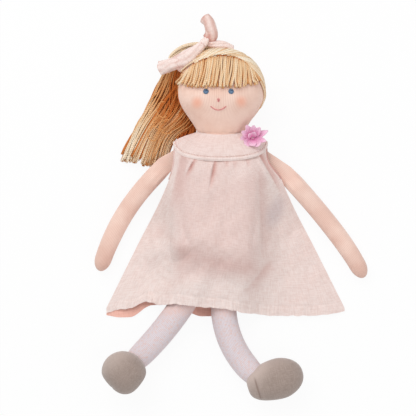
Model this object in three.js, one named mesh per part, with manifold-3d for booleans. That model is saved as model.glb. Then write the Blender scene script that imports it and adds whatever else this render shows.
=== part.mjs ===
// Rag doll lying on its back: stuffed jersey body, A-line dress, yarn hair in a side ponytail with a bow.
// Millimetres. +Y runs from the feet to the head, +Z from the table up to the face, +X to the doll's left.
// The origin is on the table, under the middle of the torso.
import * as THREE from "three";
import { mergeVertices } from "three/addons/utils/BufferGeometryUtils.js";
import Module from "manifold-3d";

const wasm = await Module();
wasm.setup();

// Cloth and fit
const CLEARANCE = 0.3;
const COVER_WALL = 1.2;
const DRESS_CLOTH = 1.2;
const COLLAR_CLOTH = 1.6;
const RIBBON_CLOTH = 1.2;
const SEAM_TAB = 3;
const SEAM_SLIT = 0.7;
const STITCH_RISE = 0.8;

// Torso
const TORSO_LENGTH = 158;
const TORSO_WIDTH = 96;
const TORSO_DEPTH = 58;
const SHOULDER_WIDTH = 84;
const SHOULDER_DROP = 22;
const SEAT_WIDTH = 88;
const SEAT_TAPER = 36;
const SEAT_SEAM_HEIGHT = 15;
const NECK_WIDTH = 50;
const NECK_DEPTH = 38;
const NECK_HEIGHT = 30;
const NECK_OFFSET = 2;
const SEAT_OFFSET = -4.5;

// Head and face
const HEAD_WIDTH = 95;
const HEAD_LENGTH = 93.5;
const HEAD_DEPTH = 70;
const EYE_DIAMETER = 6;
const EYE_SPACING = 27.4;
const EYE_DROP = 49.2;
const FACE_OFFSET = -3;
const NOSE_WIDTH = 2.6;
const NOSE_LENGTH = 5.6;
const NOSE_DROP = 58.3;
const MOUTH_WIDTH = 17;
const MOUTH_DEPTH = 4;
const MOUTH_DROP = 65;
const MOUTH_THREAD = 1.4;

// Hair
const HAIR_CAP = 3;
const NAPE_RISE = 9;
const FRINGE_THICKNESS = 2.6;
const FRINGE_LENGTH = 33;
const FRINGE_WIDTH = 87;
const HAIR_SEAM_WIDTH = 2;
const HAIR_SEAM_LENGTH = 56;
const HAIR_SEAM_DROP = 10;
const PONYTAIL_LENGTH = 122.5;
const PONYTAIL_ROOT = 22;
const PONYTAIL_END_WIDTH = 52;
const PONYTAIL_END_DEPTH = 8;
const TIE_THICKNESS = 2;
const TIE_HEIGHT = 33;
const TIE_DROP = 13.5;
const PONYTAIL_SWING = 60;

// Arms
const ARM_LENGTH = 147;
const ARM_THICKNESS = 21;
const HAND_THICKNESS = 18.5;
const ARM_TAPER = 24;
const ARM_TAB_WIDTH = 20;
const ARM_TAB_SUNK = 4;
const ARM_SEAM_DROP = 27;
const ARM_SEAM_HEIGHT = 24;
const LEFT_BEND_REACH = 73.5;
const LEFT_BEND_DROP = 43.5;
const RIGHT_BEND_REACH = 60.8;
const RIGHT_BEND_DROP = 34;

// Legs and shoes
const LEG_LENGTH = 128;
const LEG_THICKNESS = 29;
const ANKLE_THICKNESS = 28;
const LEG_TAPER = 28;
const LEG_TAB_WIDTH = 25;
const LEG_SPACING = 32;
const SHOE_LENGTH = 64;
const SHOE_WIDTH = 49;
const SHOE_HEEL_WIDTH = 42;
const SHOE_SETBACK = 8;
const SHOE_DEPTH = 46.5;

// Dress
const DRESS_LENGTH = 165;
const HEM_WIDTH = 271;
const HEM_OFFSET = 7.5;
const CHEST_DROP = 18;
const CHEST_WIDTH = 104;
const CHEST_OFFSET = 1.5;
const UNDERARM_WIDTH = 126;
const UNDERARM_OFFSET = 7;
const UNDERARM_DROP = 51;
const SIDE_BULGE = 2.3;
const SIDE_SEAM_FALL = 58;
const ARMHOLE_RISE = 34;
const ARMHOLE_INSET = 8;
const HEM_RISE = 34;
const HEM_FOLD = 3;
const HEM_FOLDS = 4;
const SIDE_FALL = 5;
const BELLY_EASE = 3.4;
const LAP_RISE = 8;
const CHEST_EASE = 12;
const COLLAR_DROP = 31;
const COLLAR_WIDTH = 106;
const BINDING_THICKNESS = 2.2;

// Bow, flower and back button
const BAND_WIDTH = 24;
const KNOT_LENGTH = 11;
const KNOT_WIDTH = 9;
const KNOT_LIFT = 8;
const UPPER_TAIL_LENGTH = 25;
const UPPER_TAIL_WIDTH = 16;
const SIDE_TAIL_LENGTH = 27;
const SIDE_TAIL_WIDTH = 12;
const BACK_TAIL_LENGTH = 32;
const FLOWER_DIAMETER = 33;
const FLOWER_INNER_DIAMETER = 22;
const FLOWER_CLOTH = 1;
const FLOWER_KNOT = 5;
const PETAL_NOTCH = 0.62;
const FLOWER_LIFT = 3;
const BUTTON_DIAMETER = 9;
const BUTTON_THICKNESS = 1.6;

// Places worked out from the sizes
const NECK_Y = TORSO_LENGTH / 2;
const SEAT_Y = -TORSO_LENGTH / 2;
const BACK_REST = DRESS_CLOTH + CLEARANCE;
const CROWN_Y = NECK_Y + HEAD_LENGTH;
const LEFT_BEND = new THREE.Vector2(LEFT_BEND_REACH, NECK_Y - LEFT_BEND_DROP);
const RIGHT_BEND = new THREE.Vector2(-RIGHT_BEND_REACH, NECK_Y - RIGHT_BEND_DROP);
const HEAD_HEIGHT = 2 * CLEARANCE + HAIR_CAP + HEAD_DEPTH / 2;
const TORSO_HEIGHT = BACK_REST + TORSO_DEPTH / 2;
const UP = new THREE.Vector3(0, 0, 1);

// Sides of the rings that the stuffed forms are drawn through
const BODY_SIDES = 18;
const LIMB_SIDES = 12;
const PONYTAIL_SIDES = 14;

const mix = THREE.MathUtils.lerp;
const radians = THREE.MathUtils.degToRad;

// A smooth curve of values through [station, value] pairs
function profile(...pairs) {
  const rise = (index) => (pairs[index + 1][1] - pairs[index][1]) / (pairs[index + 1][0] - pairs[index][0]);
  const slope = (index) => {
    const before = rise(Math.max(index - 1, 0));
    const after = rise(Math.min(index, pairs.length - 2));
    return before * after > 0 ? (2 * before * after) / (before + after) : 0;
  };
  return (station) => {
    const last = pairs.length - 2;
    const found = pairs.findIndex((pair, index) => index > 0 && station <= pair[0]);
    const index = found < 0 ? last : found - 1;
    const [start, from] = pairs[index];
    const [end, to] = pairs[index + 1];
    const span = end - start;
    const share = THREE.MathUtils.clamp((station - start) / span, 0, 1);
    const bend = share * share * (3 - 2 * share);
    const leave = share * (1 - share) * (1 - share) * span * slope(index);
    const arrive = share * share * (share - 1) * span * slope(index + 1);
    return mix(from, to, bend) + leave + arrive;
  };
}

// Points on a closed ring: a superellipse about a centre, across two directions
function ring(centre, across, over, halfWidth, halfDepth, sides, fullness = 2) {
  const power = 2 / fullness;
  return Array.from({ length: sides }, (unused, side) => {
    const angle = (2 * Math.PI * side) / sides;
    const cosine = Math.cos(angle);
    const sine = Math.sin(angle);
    const width = halfWidth * Math.sign(cosine) * Math.abs(cosine) ** power;
    const depth = halfDepth * Math.sign(sine) * Math.abs(sine) ** power;
    return centre.clone().addScaledVector(across, width).addScaledVector(over, depth);
  });
}

function closedGeometry(points, triangles) {
  const corner = (index) => points[index];
  const volume = triangles.reduce((sum, [a, b, c]) => {
    return sum + corner(a).dot(new THREE.Vector3().crossVectors(corner(b), corner(c)));
  }, 0);
  const facing = volume < 0 ? triangles.map(([a, b, c]) => [a, c, b]) : triangles;
  const geometry = new THREE.BufferGeometry().setFromPoints(points);
  geometry.setIndex(facing.flat());
  return geometry;
}

// A closed form through rings, with a flat face at each end
function loft(rings) {
  const sides = rings[0].length;
  const points = rings.flat();
  const triangles = [];
  for (let row = 0; row < rings.length - 1; row += 1) {
    for (let side = 0; side < sides; side += 1) {
      const next = (side + 1) % sides;
      const a = row * sides + side;
      const b = row * sides + next;
      triangles.push([a, b, b + sides], [a, b + sides, a + sides]);
    }
  }
  const last = (rings.length - 1) * sides;
  for (let side = 1; side < sides - 1; side += 1) {
    triangles.push([0, side + 1, side], [last, last + side, last + side + 1]);
  }
  return closedGeometry(points, triangles);
}

// A sheet of cloth: its upper face is pointAt(u, v), and its thickness hangs below along the normal
function sheet(pointAt, columns, rows, thickness, faces, wraps = false) {
  const across = wraps ? columns : columns + 1;
  const upper = [];
  const lower = [];
  const step = 1e-3;
  for (let row = 0; row <= rows; row += 1) {
    for (let column = 0; column < across; column += 1) {
      const u = column / columns;
      const v = row / rows;
      const point = pointAt(u, v);
      const alongU = pointAt(u + step, v).sub(pointAt(u - step, v));
      const alongV = pointAt(u, v + step).sub(pointAt(u, v - step));
      const normal = alongU.cross(alongV).normalize();
      const outward = faces(point);
      if (normal.dot(outward) < 0) normal.negate();
      upper.push(point);
      lower.push(point.clone().addScaledVector(normal, -thickness));
    }
  }
  const count = upper.length;
  const at = (row, column) => row * across + (column % across);
  const triangles = [];
  const quad = (a, b, c, d) => triangles.push([a, b, c], [a, c, d]);
  for (let row = 0; row < rows; row += 1) {
    for (let column = 0; column < columns; column += 1) {
      const a = at(row, column);
      const b = at(row, column + 1);
      const c = at(row + 1, column + 1);
      const d = at(row + 1, column);
      quad(a, b, c, d);
      quad(count + a, count + d, count + c, count + b);
    }
  }
  for (let column = 0; column < columns; column += 1) {
    const first = at(0, column);
    const second = at(0, column + 1);
    quad(second, first, count + first, count + second);
    const third = at(rows, column);
    const fourth = at(rows, column + 1);
    quad(third, fourth, count + fourth, count + third);
  }
  for (let row = 0; row < rows && !wraps; row += 1) {
    const first = at(row, 0);
    const second = at(row + 1, 0);
    quad(first, second, count + second, count + first);
    const third = at(row, columns);
    const fourth = at(row + 1, columns);
    quad(fourth, third, count + third, count + fourth);
  }
  return closedGeometry([...upper, ...lower], triangles);
}

function solid(geometry) {
  const plain = geometry.clone();
  plain.deleteAttribute("normal");
  plain.deleteAttribute("uv");
  const merged = mergeVertices(plain, 1e-4);
  const vertProperties = new Float32Array(merged.attributes.position.array);
  const triVerts = new Uint32Array(merged.index.array);
  return new wasm.Manifold(new wasm.Mesh({ numProp: 3, vertProperties, triVerts }));
}

function bufferOf(body) {
  const { vertProperties, triVerts } = body.getMesh();
  const geometry = new THREE.BufferGeometry();
  geometry.setAttribute("position", new THREE.BufferAttribute(new Float32Array(vertProperties), 3));
  geometry.setIndex(new THREE.BufferAttribute(new Uint32Array(triVerts), 1));
  return geometry;
}

function cut(geometry, ...tools) {
  return bufferOf(tools.reduce((body, tool) => body.subtract(solid(tool)), solid(geometry)));
}

function common(first, ...others) {
  return bufferOf(others.reduce((body, other) => body.intersect(solid(other)), solid(first)));
}

// A cutter that stands straight up from a flat outline
function pillar(shape, low, high) {
  const options = { depth: high - low, bevelEnabled: false, curveSegments: 10 };
  return new THREE.ExtrudeGeometry(shape, options).translate(0, 0, low);
}

// A path on the table: headings in degrees away from the feet direction, turned to one side
function spine(start, headings, length, side) {
  const steps = 24;
  const points = [start.clone()];
  for (let step = 0; step < steps; step += 1) {
    const place = ((step + 0.5) / steps) * (headings.length - 1);
    const first = Math.min(Math.floor(place), headings.length - 2);
    const heading = radians(mix(headings[first], headings[first + 1], place - first));
    const stride = new THREE.Vector2(side * Math.sin(heading), -Math.cos(heading));
    points.push(points[step].clone().addScaledVector(stride, length / steps));
  }
  return (share) => {
    const place = THREE.MathUtils.clamp(share, 0, 1) * steps;
    const first = Math.min(Math.floor(place), steps - 1);
    return points[first].clone().lerp(points[first + 1], place - first);
  };
}

function heading(path, share) {
  const step = 0.02;
  const low = Math.min(Math.max(share - step, 0), 1 - step);
  return path(low + step).sub(path(low)).normalize();
}

// Torso: stations run from the neck seam to the seat seam
const torsoStation = (y) => NECK_Y - y;
const torsoCentre = (y) => mix(NECK_OFFSET, SEAT_OFFSET, torsoStation(y) / TORSO_LENGTH);
const torsoHalfWidth = profile(
  [0, NECK_WIDTH / 2],
  [SHOULDER_DROP, SHOULDER_WIDTH / 2],
  [TORSO_LENGTH * 0.55, TORSO_WIDTH / 2],
  [TORSO_LENGTH - SEAT_TAPER, TORSO_WIDTH / 2],
  [TORSO_LENGTH, SEAT_WIDTH / 2],
);
const seatShare = (station) => {
  const share = THREE.MathUtils.clamp((TORSO_LENGTH - station) / SEAT_TAPER, 0, 1);
  return (1 - Math.cos(Math.PI * share)) / 2;
};
const chestHalfDepth = profile(
  [0, NECK_DEPTH / 2],
  [SHOULDER_DROP, TORSO_DEPTH * 0.43],
  [TORSO_LENGTH * 0.4, TORSO_DEPTH / 2],
  [TORSO_LENGTH, TORSO_DEPTH / 2],
);
const chestHeight = profile(
  [0, NECK_HEIGHT],
  [TORSO_LENGTH * 0.4, TORSO_HEIGHT],
  [TORSO_LENGTH, TORSO_HEIGHT],
);
const torsoHalfDepth = (station) => mix(SEAM_TAB / 2, chestHalfDepth(station), seatShare(station));
const torsoHeight = (station) => mix(SEAT_SEAM_HEIGHT, chestHeight(station), seatShare(station));
const TORSO_FULLNESS = 2.3;

function torsoForm(grow, neckEnd = NECK_Y - CLEARANCE / 2) {
  const ends = [neckEnd, NECK_Y - SHOULDER_DROP * 0.45, NECK_Y - SHOULDER_DROP];
  const middle = [0.3, 0.5, 0.7].map((share) => NECK_Y - share * TORSO_LENGTH);
  const seat = [1, 0.8, 0.6, 0.4, 0.2, 0].map((share) => SEAT_Y + share * SEAT_TAPER);
  const across = new THREE.Vector3(1, 0, 0);
  const rings = [...ends, ...middle, ...seat].map((y) => {
    const station = torsoStation(Math.min(y, NECK_Y));
    const centre = new THREE.Vector3(torsoCentre(y), y, torsoHeight(station));
    const halfDepth = Math.max(torsoHalfDepth(station) + grow, SEAM_SLIT / 2);
    return ring(centre, across, UP, torsoHalfWidth(station) + grow, halfDepth, BODY_SIDES, TORSO_FULLNESS);
  });
  return loft(rings);
}

function torsoTop(x, y, grow) {
  const station = torsoStation(y);
  const share = Math.min(Math.abs(x - torsoCentre(y)) / (torsoHalfWidth(station) + grow), 1);
  const rise = (1 - share ** TORSO_FULLNESS) ** (1 / TORSO_FULLNESS);
  return torsoHeight(station) + (torsoHalfDepth(station) + grow) * rise;
}

// Moves a point straight out from the torso's middle until it clears the torso by a gap
function clearOfTorso(point, gap) {
  const station = torsoStation(Math.min(point.y, NECK_Y));
  const middle = new THREE.Vector3(torsoCentre(point.y), point.y, torsoHeight(station));
  const away = point.clone().sub(middle);
  const width = Math.abs(away.x) / (torsoHalfWidth(station) + gap);
  const depth = Math.abs(away.z) / (torsoHalfDepth(station) + gap);
  const inside = (width ** TORSO_FULLNESS + depth ** TORSO_FULLNESS) ** (1 / TORSO_FULLNESS);
  return middle.addScaledVector(away, 1 / Math.min(inside, 1));
}

// Head: stations run from the neck seam to the crown
const HEAD_WIDEST = 0.47;
const CROWN_FLAT = 1;
function headSwell(station) {
  const share = Math.min(station / HEAD_WIDEST, 1);
  return 0.5 * Math.sin((Math.PI / 2) * share) + 0.25 * (1 - Math.cos(Math.PI * share));
}

function headHalf(station, atNeck, atWidest) {
  if (station > HEAD_WIDEST) {
    const share = (station - HEAD_WIDEST) / (1 - HEAD_WIDEST);
    return atWidest * Math.sqrt(Math.max(1 - share ** 2.2, 0));
  }
  return mix(atNeck, atWidest, headSwell(station));
}

function headForm(grow, neckEnd = NECK_Y + CLEARANCE / 2) {
  const stations = [0, 0.1, 0.2, 0.3, 0.4, 0.5, 0.62, 0.74, 0.85, 0.93, 0.98, 1];
  const across = new THREE.Vector3(1, 0, 0);
  const reach = HEAD_LENGTH + grow;
  const rings = stations.map((station, index) => {
    const y = index === 0 ? neckEnd : NECK_Y + station * reach;
    const height = mix(NECK_HEIGHT, HEAD_HEIGHT, headSwell(station));
    const sideways = grow * (1 - station ** 8);
    const halfWidth = Math.max(headHalf(station, NECK_WIDTH / 2, HEAD_WIDTH / 2) + sideways, CROWN_FLAT);
    const halfDepth = Math.max(headHalf(station, NECK_DEPTH / 2, HEAD_DEPTH / 2) + sideways, CROWN_FLAT);
    const centre = new THREE.Vector3(NECK_OFFSET, y, height);
    return ring(centre, across, UP, halfWidth, halfDepth, BODY_SIDES);
  });
  return loft(rings);
}

function headShell(inner, outer) {
  const below = NECK_Y + CLEARANCE / 2 - 1;
  return cut(headForm(outer), headForm(inner, below));
}

// Limbs: tabs are flat at the sewn end and swell to a round section over the taper
function limbForm(design, grow, rootReach = 0, from = 0) {
  const { path, seam, length, heights, thickness, tabWidth, taper, tip } = design;
  const swellShares = [0, 0.25, 0.5, 0.75, 1].filter((share) => share >= from);
  const swells = swellShares.map((share) => (share * taper) / length);
  const body = [0.35, 0.5, 0.65, 0.8].filter((share) => share * length > taper * 1.2);
  const ends = tip ? [0.9, 0.95, 0.98, 1] : [0.92, 1];
  const rings = [...swells, ...body, ...ends].map((share) => {
    const along = heading(path, share);
    const place = path(tip ? share * (1 + grow / length) : share);
    const swell = Math.min((share * length) / taper, 1);
    const ease = (1 - Math.cos(Math.PI * swell)) / 2;
    const across = seam.clone().lerp(new THREE.Vector3(-along.y, along.x, 0), swell).normalize();
    if (share === 0) place.add(new THREE.Vector2(-seam.y, seam.x).multiplyScalar(rootReach));
    const round = thickness(share) / 2;
    const domeStart = 0.9;
    const past = tip ? Math.max(share - domeStart, 0) / (1 - domeStart) : 0;
    const dome = Math.sqrt(Math.max(1 - past ** 2, 0.02));
    const halfWidth = (mix(tabWidth / 2, round, ease) + grow) * dome;
    const halfDepth = Math.max(mix(SEAM_TAB / 2, round, ease) + grow, SEAM_SLIT / 2) * dome;
    const centre = new THREE.Vector3(place.x, place.y, heights(share));
    return ring(centre, across, UP, halfWidth, halfDepth, LIMB_SIDES);
  });
  return loft(rings);
}

function armDesign(bend, headings, side) {
  const path = spine(bend, headings, ARM_LENGTH, side);
  const along = heading(path, 0);
  return {
    path,
    seam: new THREE.Vector3(-along.y, along.x, 0),
    length: ARM_LENGTH,
    heights: profile(
      [0, ARM_SEAM_HEIGHT],
      [0.55, ARM_THICKNESS / 2 + 3 * CLEARANCE],
      [1, HAND_THICKNESS / 2 + CLEARANCE],
    ),
    thickness: profile([0, ARM_THICKNESS], [0.6, ARM_THICKNESS], [1, HAND_THICKNESS]),
    tabWidth: ARM_TAB_WIDTH,
    taper: ARM_TAPER,
    tip: true,
  };
}

function legDesign(hip, headings, side, ankleHeight) {
  return {
    path: spine(hip, headings, LEG_LENGTH, side),
    seam: new THREE.Vector3(1, 0, 0),
    length: LEG_LENGTH,
    heights: profile(
      [0, SEAT_SEAM_HEIGHT],
      [0.3, BACK_REST + LEG_THICKNESS / 2],
      [0.75, BACK_REST + ANKLE_THICKNESS / 2],
      [1, ankleHeight],
    ),
    thickness: profile(
      [0, LEG_THICKNESS],
      [0.5, LEG_THICKNESS],
      [0.85, ANKLE_THICKNESS],
      [1, ANKLE_THICKNESS * 0.75],
    ),
    tabWidth: LEG_TAB_WIDTH,
    taper: LEG_TAPER,
    tip: false,
  };
}

const hipPlace = (side) => new THREE.Vector2(SEAT_OFFSET + (side * LEG_SPACING) / 2, SEAT_Y - CLEARANCE);
const SIDES = {
  left: {
    side: 1,
    arm: armDesign(LEFT_BEND, [45, 43, 41, 39, 35, 27], 1),
    leg: legDesign(hipPlace(1), [-20, 50], 1, SHOE_WIDTH / 2 - 2),
    toe: new THREE.Vector3(0.97, 0.19, 0.03).normalize(),
    sole: new THREE.Vector3(0.19, -0.97, 0),
    shoeHeight: SHOE_WIDTH / 2 + CLEARANCE,
    heelShare: 0.27,
  },
  right: {
    side: -1,
    arm: armDesign(RIGHT_BEND, [44, 43, 37, 29, 22, 12], -1),
    leg: legDesign(hipPlace(-1), [27, 46], -1, BACK_REST + ANKLE_THICKNESS / 2),
    toe: new THREE.Vector3(-0.05, -0.08, 1).normalize(),
    sole: new THREE.Vector3(-0.7, -0.7, 0),
    shoeHeight: CLEARANCE + 0.22 * SHOE_LENGTH,
    heelShare: 0.22,
  },
};

// Shoe: an egg along the foot, smaller at the heel, carried on the end of the leg
function shoeForm(design, grow) {
  const ankle = design.leg.path(1);
  const along = heading(design.leg.path, 1);
  const hub = ankle.clone().addScaledVector(along, SHOE_SETBACK);
  const length = SHOE_LENGTH + 2 * grow;
  const start = new THREE.Vector3(hub.x, hub.y, design.shoeHeight);
  start.addScaledVector(design.toe, -design.heelShare * SHOE_LENGTH - grow);
  const across = new THREE.Vector3().crossVectors(design.toe, design.sole).normalize();
  const over = new THREE.Vector3().crossVectors(across, design.toe).normalize();
  const shares = [0, 0.04, 0.14, 0.32, 0.52, 0.7, 0.85, 0.95, 1];
  const rings = shares.map((share) => {
    const full = mix(SHOE_HEEL_WIDTH, SHOE_WIDTH, Math.min(share / 0.65, 1)) / 2 + grow;
    const egg = Math.max((4 * share * (1 - share)) ** 0.45, 0.06);
    const centre = start.clone().addScaledVector(design.toe, share * length);
    return ring(centre, across, over, full * egg, full * egg * (SHOE_DEPTH / SHOE_WIDTH), LIMB_SIDES);
  });
  return loft(rings);
}

// Dress: half width, middle, and the heights of its edge and its middle, by the distance towards the head
const UNDERARM_Y = NECK_Y - UNDERARM_DROP;
const HEM_Y = NECK_Y - COLLAR_DROP - DRESS_LENGTH;
const CHEST_Y = NECK_Y - CHEST_DROP;
const BULGE_SHARE = 0.47;
const BULGE_Y = mix(HEM_Y, UNDERARM_Y, BULGE_SHARE);
const dressHalfWidth = profile(
  [HEM_Y, HEM_WIDTH / 2],
  [BULGE_Y, mix(HEM_WIDTH, UNDERARM_WIDTH, BULGE_SHARE) / 2 + SIDE_BULGE],
  [UNDERARM_Y, UNDERARM_WIDTH / 2],
  [CHEST_Y, CHEST_WIDTH / 2],
  [NECK_Y, CHEST_WIDTH / 2],
);
const dressMiddle = profile(
  [HEM_Y, HEM_OFFSET],
  [BULGE_Y, mix(HEM_OFFSET, UNDERARM_OFFSET, BULGE_SHARE) + SIDE_BULGE / 2],
  [UNDERARM_Y, UNDERARM_OFFSET],
  [CHEST_Y, CHEST_OFFSET],
  [NECK_Y, CHEST_OFFSET],
);
const SIDE_SEAM_HEIGHT = BACK_REST + DRESS_CLOTH;
function dressEdgeHeight(y) {
  const share = THREE.MathUtils.smoothstep(y, UNDERARM_Y - SIDE_SEAM_FALL, UNDERARM_Y + CHEST_EASE);
  return mix(SIDE_SEAM_HEIGHT, ARMHOLE_RISE, share);
}

// The body under the dress, which holds it up: the legs at the hem, the torso above them
const LAP_OFFSET = SEAT_OFFSET - 13.5;
const LAP_WIDTH = LEG_SPACING * 1.4 + 2 * LEG_THICKNESS;
const bodyMiddle = profile(
  [HEM_Y, LAP_OFFSET], [SEAT_Y, SEAT_OFFSET], [UNDERARM_Y, 0], [NECK_Y, NECK_OFFSET],
);
const bodyHalfWidth = profile(
  [HEM_Y, LAP_WIDTH / 2],
  [SEAT_Y, SEAT_WIDTH / 2 + SIDE_FALL],
  [UNDERARM_Y, TORSO_WIDTH / 2 + SIDE_FALL],
  [NECK_Y, TORSO_WIDTH / 2 + SIDE_FALL],
);

// The cloth lies over the body, falls steeply beside it and spreads out nearly flat to the side seams
function dressTop(x, y) {
  const belly = TORSO_HEIGHT + TORSO_DEPTH / 2 + DRESS_CLOTH + BELLY_EASE;
  const seat = THREE.MathUtils.smoothstep(y, SEAT_Y - LAP_RISE, SEAT_Y + SEAT_TAPER * 1.1);
  const chest = THREE.MathUtils.smoothstep(y, NECK_Y - COLLAR_DROP - CHEST_EASE, NECK_Y + CHEST_EASE / 3);
  const fall = mix(HEM_RISE + LAP_RISE * THREE.MathUtils.smoothstep(y, HEM_Y, SEAT_Y), belly, seat);
  const neck = NECK_HEIGHT + NECK_DEPTH / 2 + DRESS_CLOTH;
  const middle = mix(fall, neck, chest);
  const edge = dressEdgeHeight(y);
  const beside = Math.abs(x - bodyMiddle(y)) / bodyHalfWidth(y);
  const share = Math.min(Math.abs(x - dressMiddle(y)) / dressHalfWidth(y), 1);
  const cloth = edge + ((middle - edge) * (1 - share ** 8)) / (1 + beside ** 6);
  const grow = DRESS_CLOTH + BELLY_EASE * 0.5;
  const overTorso = Math.abs(x - torsoCentre(y)) < torsoHalfWidth(torsoStation(y)) + grow;
  if (y < SEAT_Y || y > NECK_Y || !overTorso) return cloth;
  return Math.max(cloth, torsoTop(x, y, grow));
}

// The collar is a round yoke about the neck; turn 0 is the middle of the front
const COLLAR_FULLNESS = 2.5;
const COLLAR_SIDE_DROP = SHOULDER_DROP * 0.4;
function collarEdge(turn) {
  const cosine = Math.cos(turn);
  const power = 2 / COLLAR_FULLNESS;
  const x = CHEST_OFFSET + (COLLAR_WIDTH / 2) * Math.sign(Math.sin(turn)) * Math.abs(Math.sin(turn)) ** power;
  const y = NECK_Y - mix(COLLAR_SIDE_DROP, COLLAR_DROP, Math.abs(cosine) ** power);
  const back = COLLAR_CLOTH + CLEARANCE;
  const front = dressTop(x, y) + COLLAR_CLOTH + CLEARANCE;
  const side = ARMHOLE_RISE + COLLAR_CLOTH;
  const middle = cosine > 0 ? front : back;
  const z = mix(side, middle, Math.min(Math.abs(cosine) * 1.6, 1));
  return new THREE.Vector3(x, y, z);
}

function collarPoint(u, v) {
  const turn = 2 * Math.PI * u;
  const reach = COLLAR_CLOTH + CLEARANCE;
  const neck = new THREE.Vector3(
    NECK_OFFSET + (NECK_WIDTH / 2 + reach) * Math.sin(turn),
    NECK_Y - 1.5,
    NECK_HEIGHT + (NECK_DEPTH / 2 + reach) * Math.cos(turn),
  );
  const place = neck.lerp(collarEdge(turn), v);
  const arch = 3 * Math.sin(Math.PI * v);
  place.x += arch * Math.sin(turn);
  place.z += arch * Math.cos(turn) * (Math.cos(turn) > 0 ? 1 : 0.2);
  return clearOfTorso(place, COLLAR_CLOTH + 3 * CLEARANCE);
}

const awayFromNeck = (point) => new THREE.Vector3(point.x - NECK_OFFSET, 12, point.z - NECK_HEIGHT);

// Front panel: u runs from the doll's right side to its left, v from the collar to the hem
const YOKE_SHARE = 0.966;
const YOKE_GAP = 3 * CLEARANCE;
const PANEL_COLUMNS = 28;
const PANEL_ROWS = 16;
const frontHem = profile([0, -6], [0.13, 0.5], [0.25, 5.5], [0.43, 3.5], [0.65, -6], [0.8, -9], [1, -4]);
const backHem = profile(
  [0, -8], [0.07, -10], [0.2, 5], [0.27, 4], [0.4, -8], [0.5, -8], [0.58, -1], [0.8, -7], [1, -4],
);
function dressFrontPoint(u, v) {
  const side = 2 * u - 1;
  const yoke = (1 - (YOKE_SHARE * Math.abs(side)) ** COLLAR_FULLNESS) ** (1 / COLLAR_FULLNESS);
  const topX = CHEST_OFFSET + YOKE_SHARE * side * (COLLAR_WIDTH / 2);
  const topY = NECK_Y - mix(COLLAR_SIDE_DROP, COLLAR_DROP, yoke) - YOKE_GAP;
  const y = mix(topY, HEM_Y + frontHem(u), v);
  const spread = THREE.MathUtils.smoothstep(v, 0, 0.2);
  const x = mix(topX, dressMiddle(y) + side * dressHalfWidth(y), spread);
  const fold = (HEM_FOLD * v ** 3 * (1 - Math.cos(2 * Math.PI * HEM_FOLDS * u))) / 2;
  return new THREE.Vector3(x, y, dressTop(x, y) + fold);
}

function dressBack() {
  const left = (y) => dressMiddle(y) + dressHalfWidth(y);
  const right = (y) => dressMiddle(y) - dressHalfWidth(y);
  const top = NECK_Y - COLLAR_DROP - YOKE_GAP;
  const outline = new THREE.Shape();
  outline.moveTo(right(top) + ARMHOLE_INSET, top);
  outline.lineTo(right(UNDERARM_Y), UNDERARM_Y);
  outline.lineTo(right(BULGE_Y), BULGE_Y);
  for (let column = 0; column <= PANEL_COLUMNS; column += 1) {
    const u = column / PANEL_COLUMNS;
    outline.lineTo(mix(right(HEM_Y), left(HEM_Y), u), HEM_Y + backHem(u));
  }
  outline.lineTo(left(BULGE_Y), BULGE_Y);
  outline.lineTo(left(UNDERARM_Y), UNDERARM_Y);
  outline.lineTo(left(top) - ARMHOLE_INSET, top);
  return pillar(outline, 0, DRESS_CLOTH);
}

// The bound edge of an armhole, along the front panel's free side edge
function armholeBinding(side) {
  const edge = side > 0 ? 1 : 0;
  const outward = BINDING_THICKNESS / 2 + 3 * CLEARANCE;
  const places = [0.03, 0.058, 0.086, 0.114].map((v) => {
    const place = dressFrontPoint(edge, v);
    return new THREE.Vector3(place.x + side * outward, place.y, place.z - DRESS_CLOTH / 2);
  });
  const path = new THREE.CatmullRomCurve3(places);
  const section = new THREE.Shape().absellipse(0, 0, BINDING_THICKNESS / 2, BINDING_THICKNESS / 2);
  const options = { steps: 8, extrudePath: path, curveSegments: 4, bevelEnabled: false };
  return new THREE.ExtrudeGeometry(section, options);
}

// The unstuffed top of an arm, from the torso's side seam to the line where the arm bends
const SIDE_SEAM_OF_TORSO = TORSO_HEIGHT - 2;
function armTab(design) {
  const bend = design.arm.path(0);
  const along = heading(design.arm.path, 0);
  const seamY = NECK_Y - ARM_SEAM_DROP;
  const sunk = torsoHalfWidth(ARM_SEAM_DROP) - ARM_TAB_SUNK;
  const inner = new THREE.Vector2(torsoCentre(seamY) + design.side * sunk, seamY);
  const end = bend.clone().addScaledVector(along, -CLEARANCE);
  const reach = end.clone().sub(inner);
  const across = new THREE.Vector3(-along.y, along.x, 0);
  const rings = [0, 0.5, 1].map((share) => {
    const place = inner.clone().addScaledVector(reach, share);
    const height = mix(SIDE_SEAM_OF_TORSO, ARM_SEAM_HEIGHT, share);
    const centre = new THREE.Vector3(place.x, place.y, height);
    return ring(centre, across, UP, ARM_TAB_WIDTH / 2, SEAM_TAB / 2, LIMB_SIDES, 3);
  });
  return cut(loft(rings), torsoForm(CLEARANCE));
}

// Hair: the cap lies behind a slanted plane through the fringe seam and the sides of the head
const FRINGE_Y = CROWN_Y - HAIR_SEAM_DROP;
const HAIRLINE = new THREE.Vector3(NECK_OFFSET, FRINGE_Y, HEAD_HEIGHT + HEAD_DEPTH * 0.26);
const HAIRLINE_FACING = new THREE.Vector3(
  24.7 / HEAD_WIDTH, 42.075 / HEAD_LENGTH, -60.2 / HEAD_DEPTH,
).normalize();
function behindHairline(shift) {
  const size = 300;
  const turn = new THREE.Quaternion().setFromUnitVectors(UP, HAIRLINE_FACING);
  const middle = HAIRLINE.clone().addScaledVector(HAIRLINE_FACING, size / 2 + shift);
  return new THREE.BoxGeometry(size, size, size).applyQuaternion(turn).translate(...middle);
}

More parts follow.
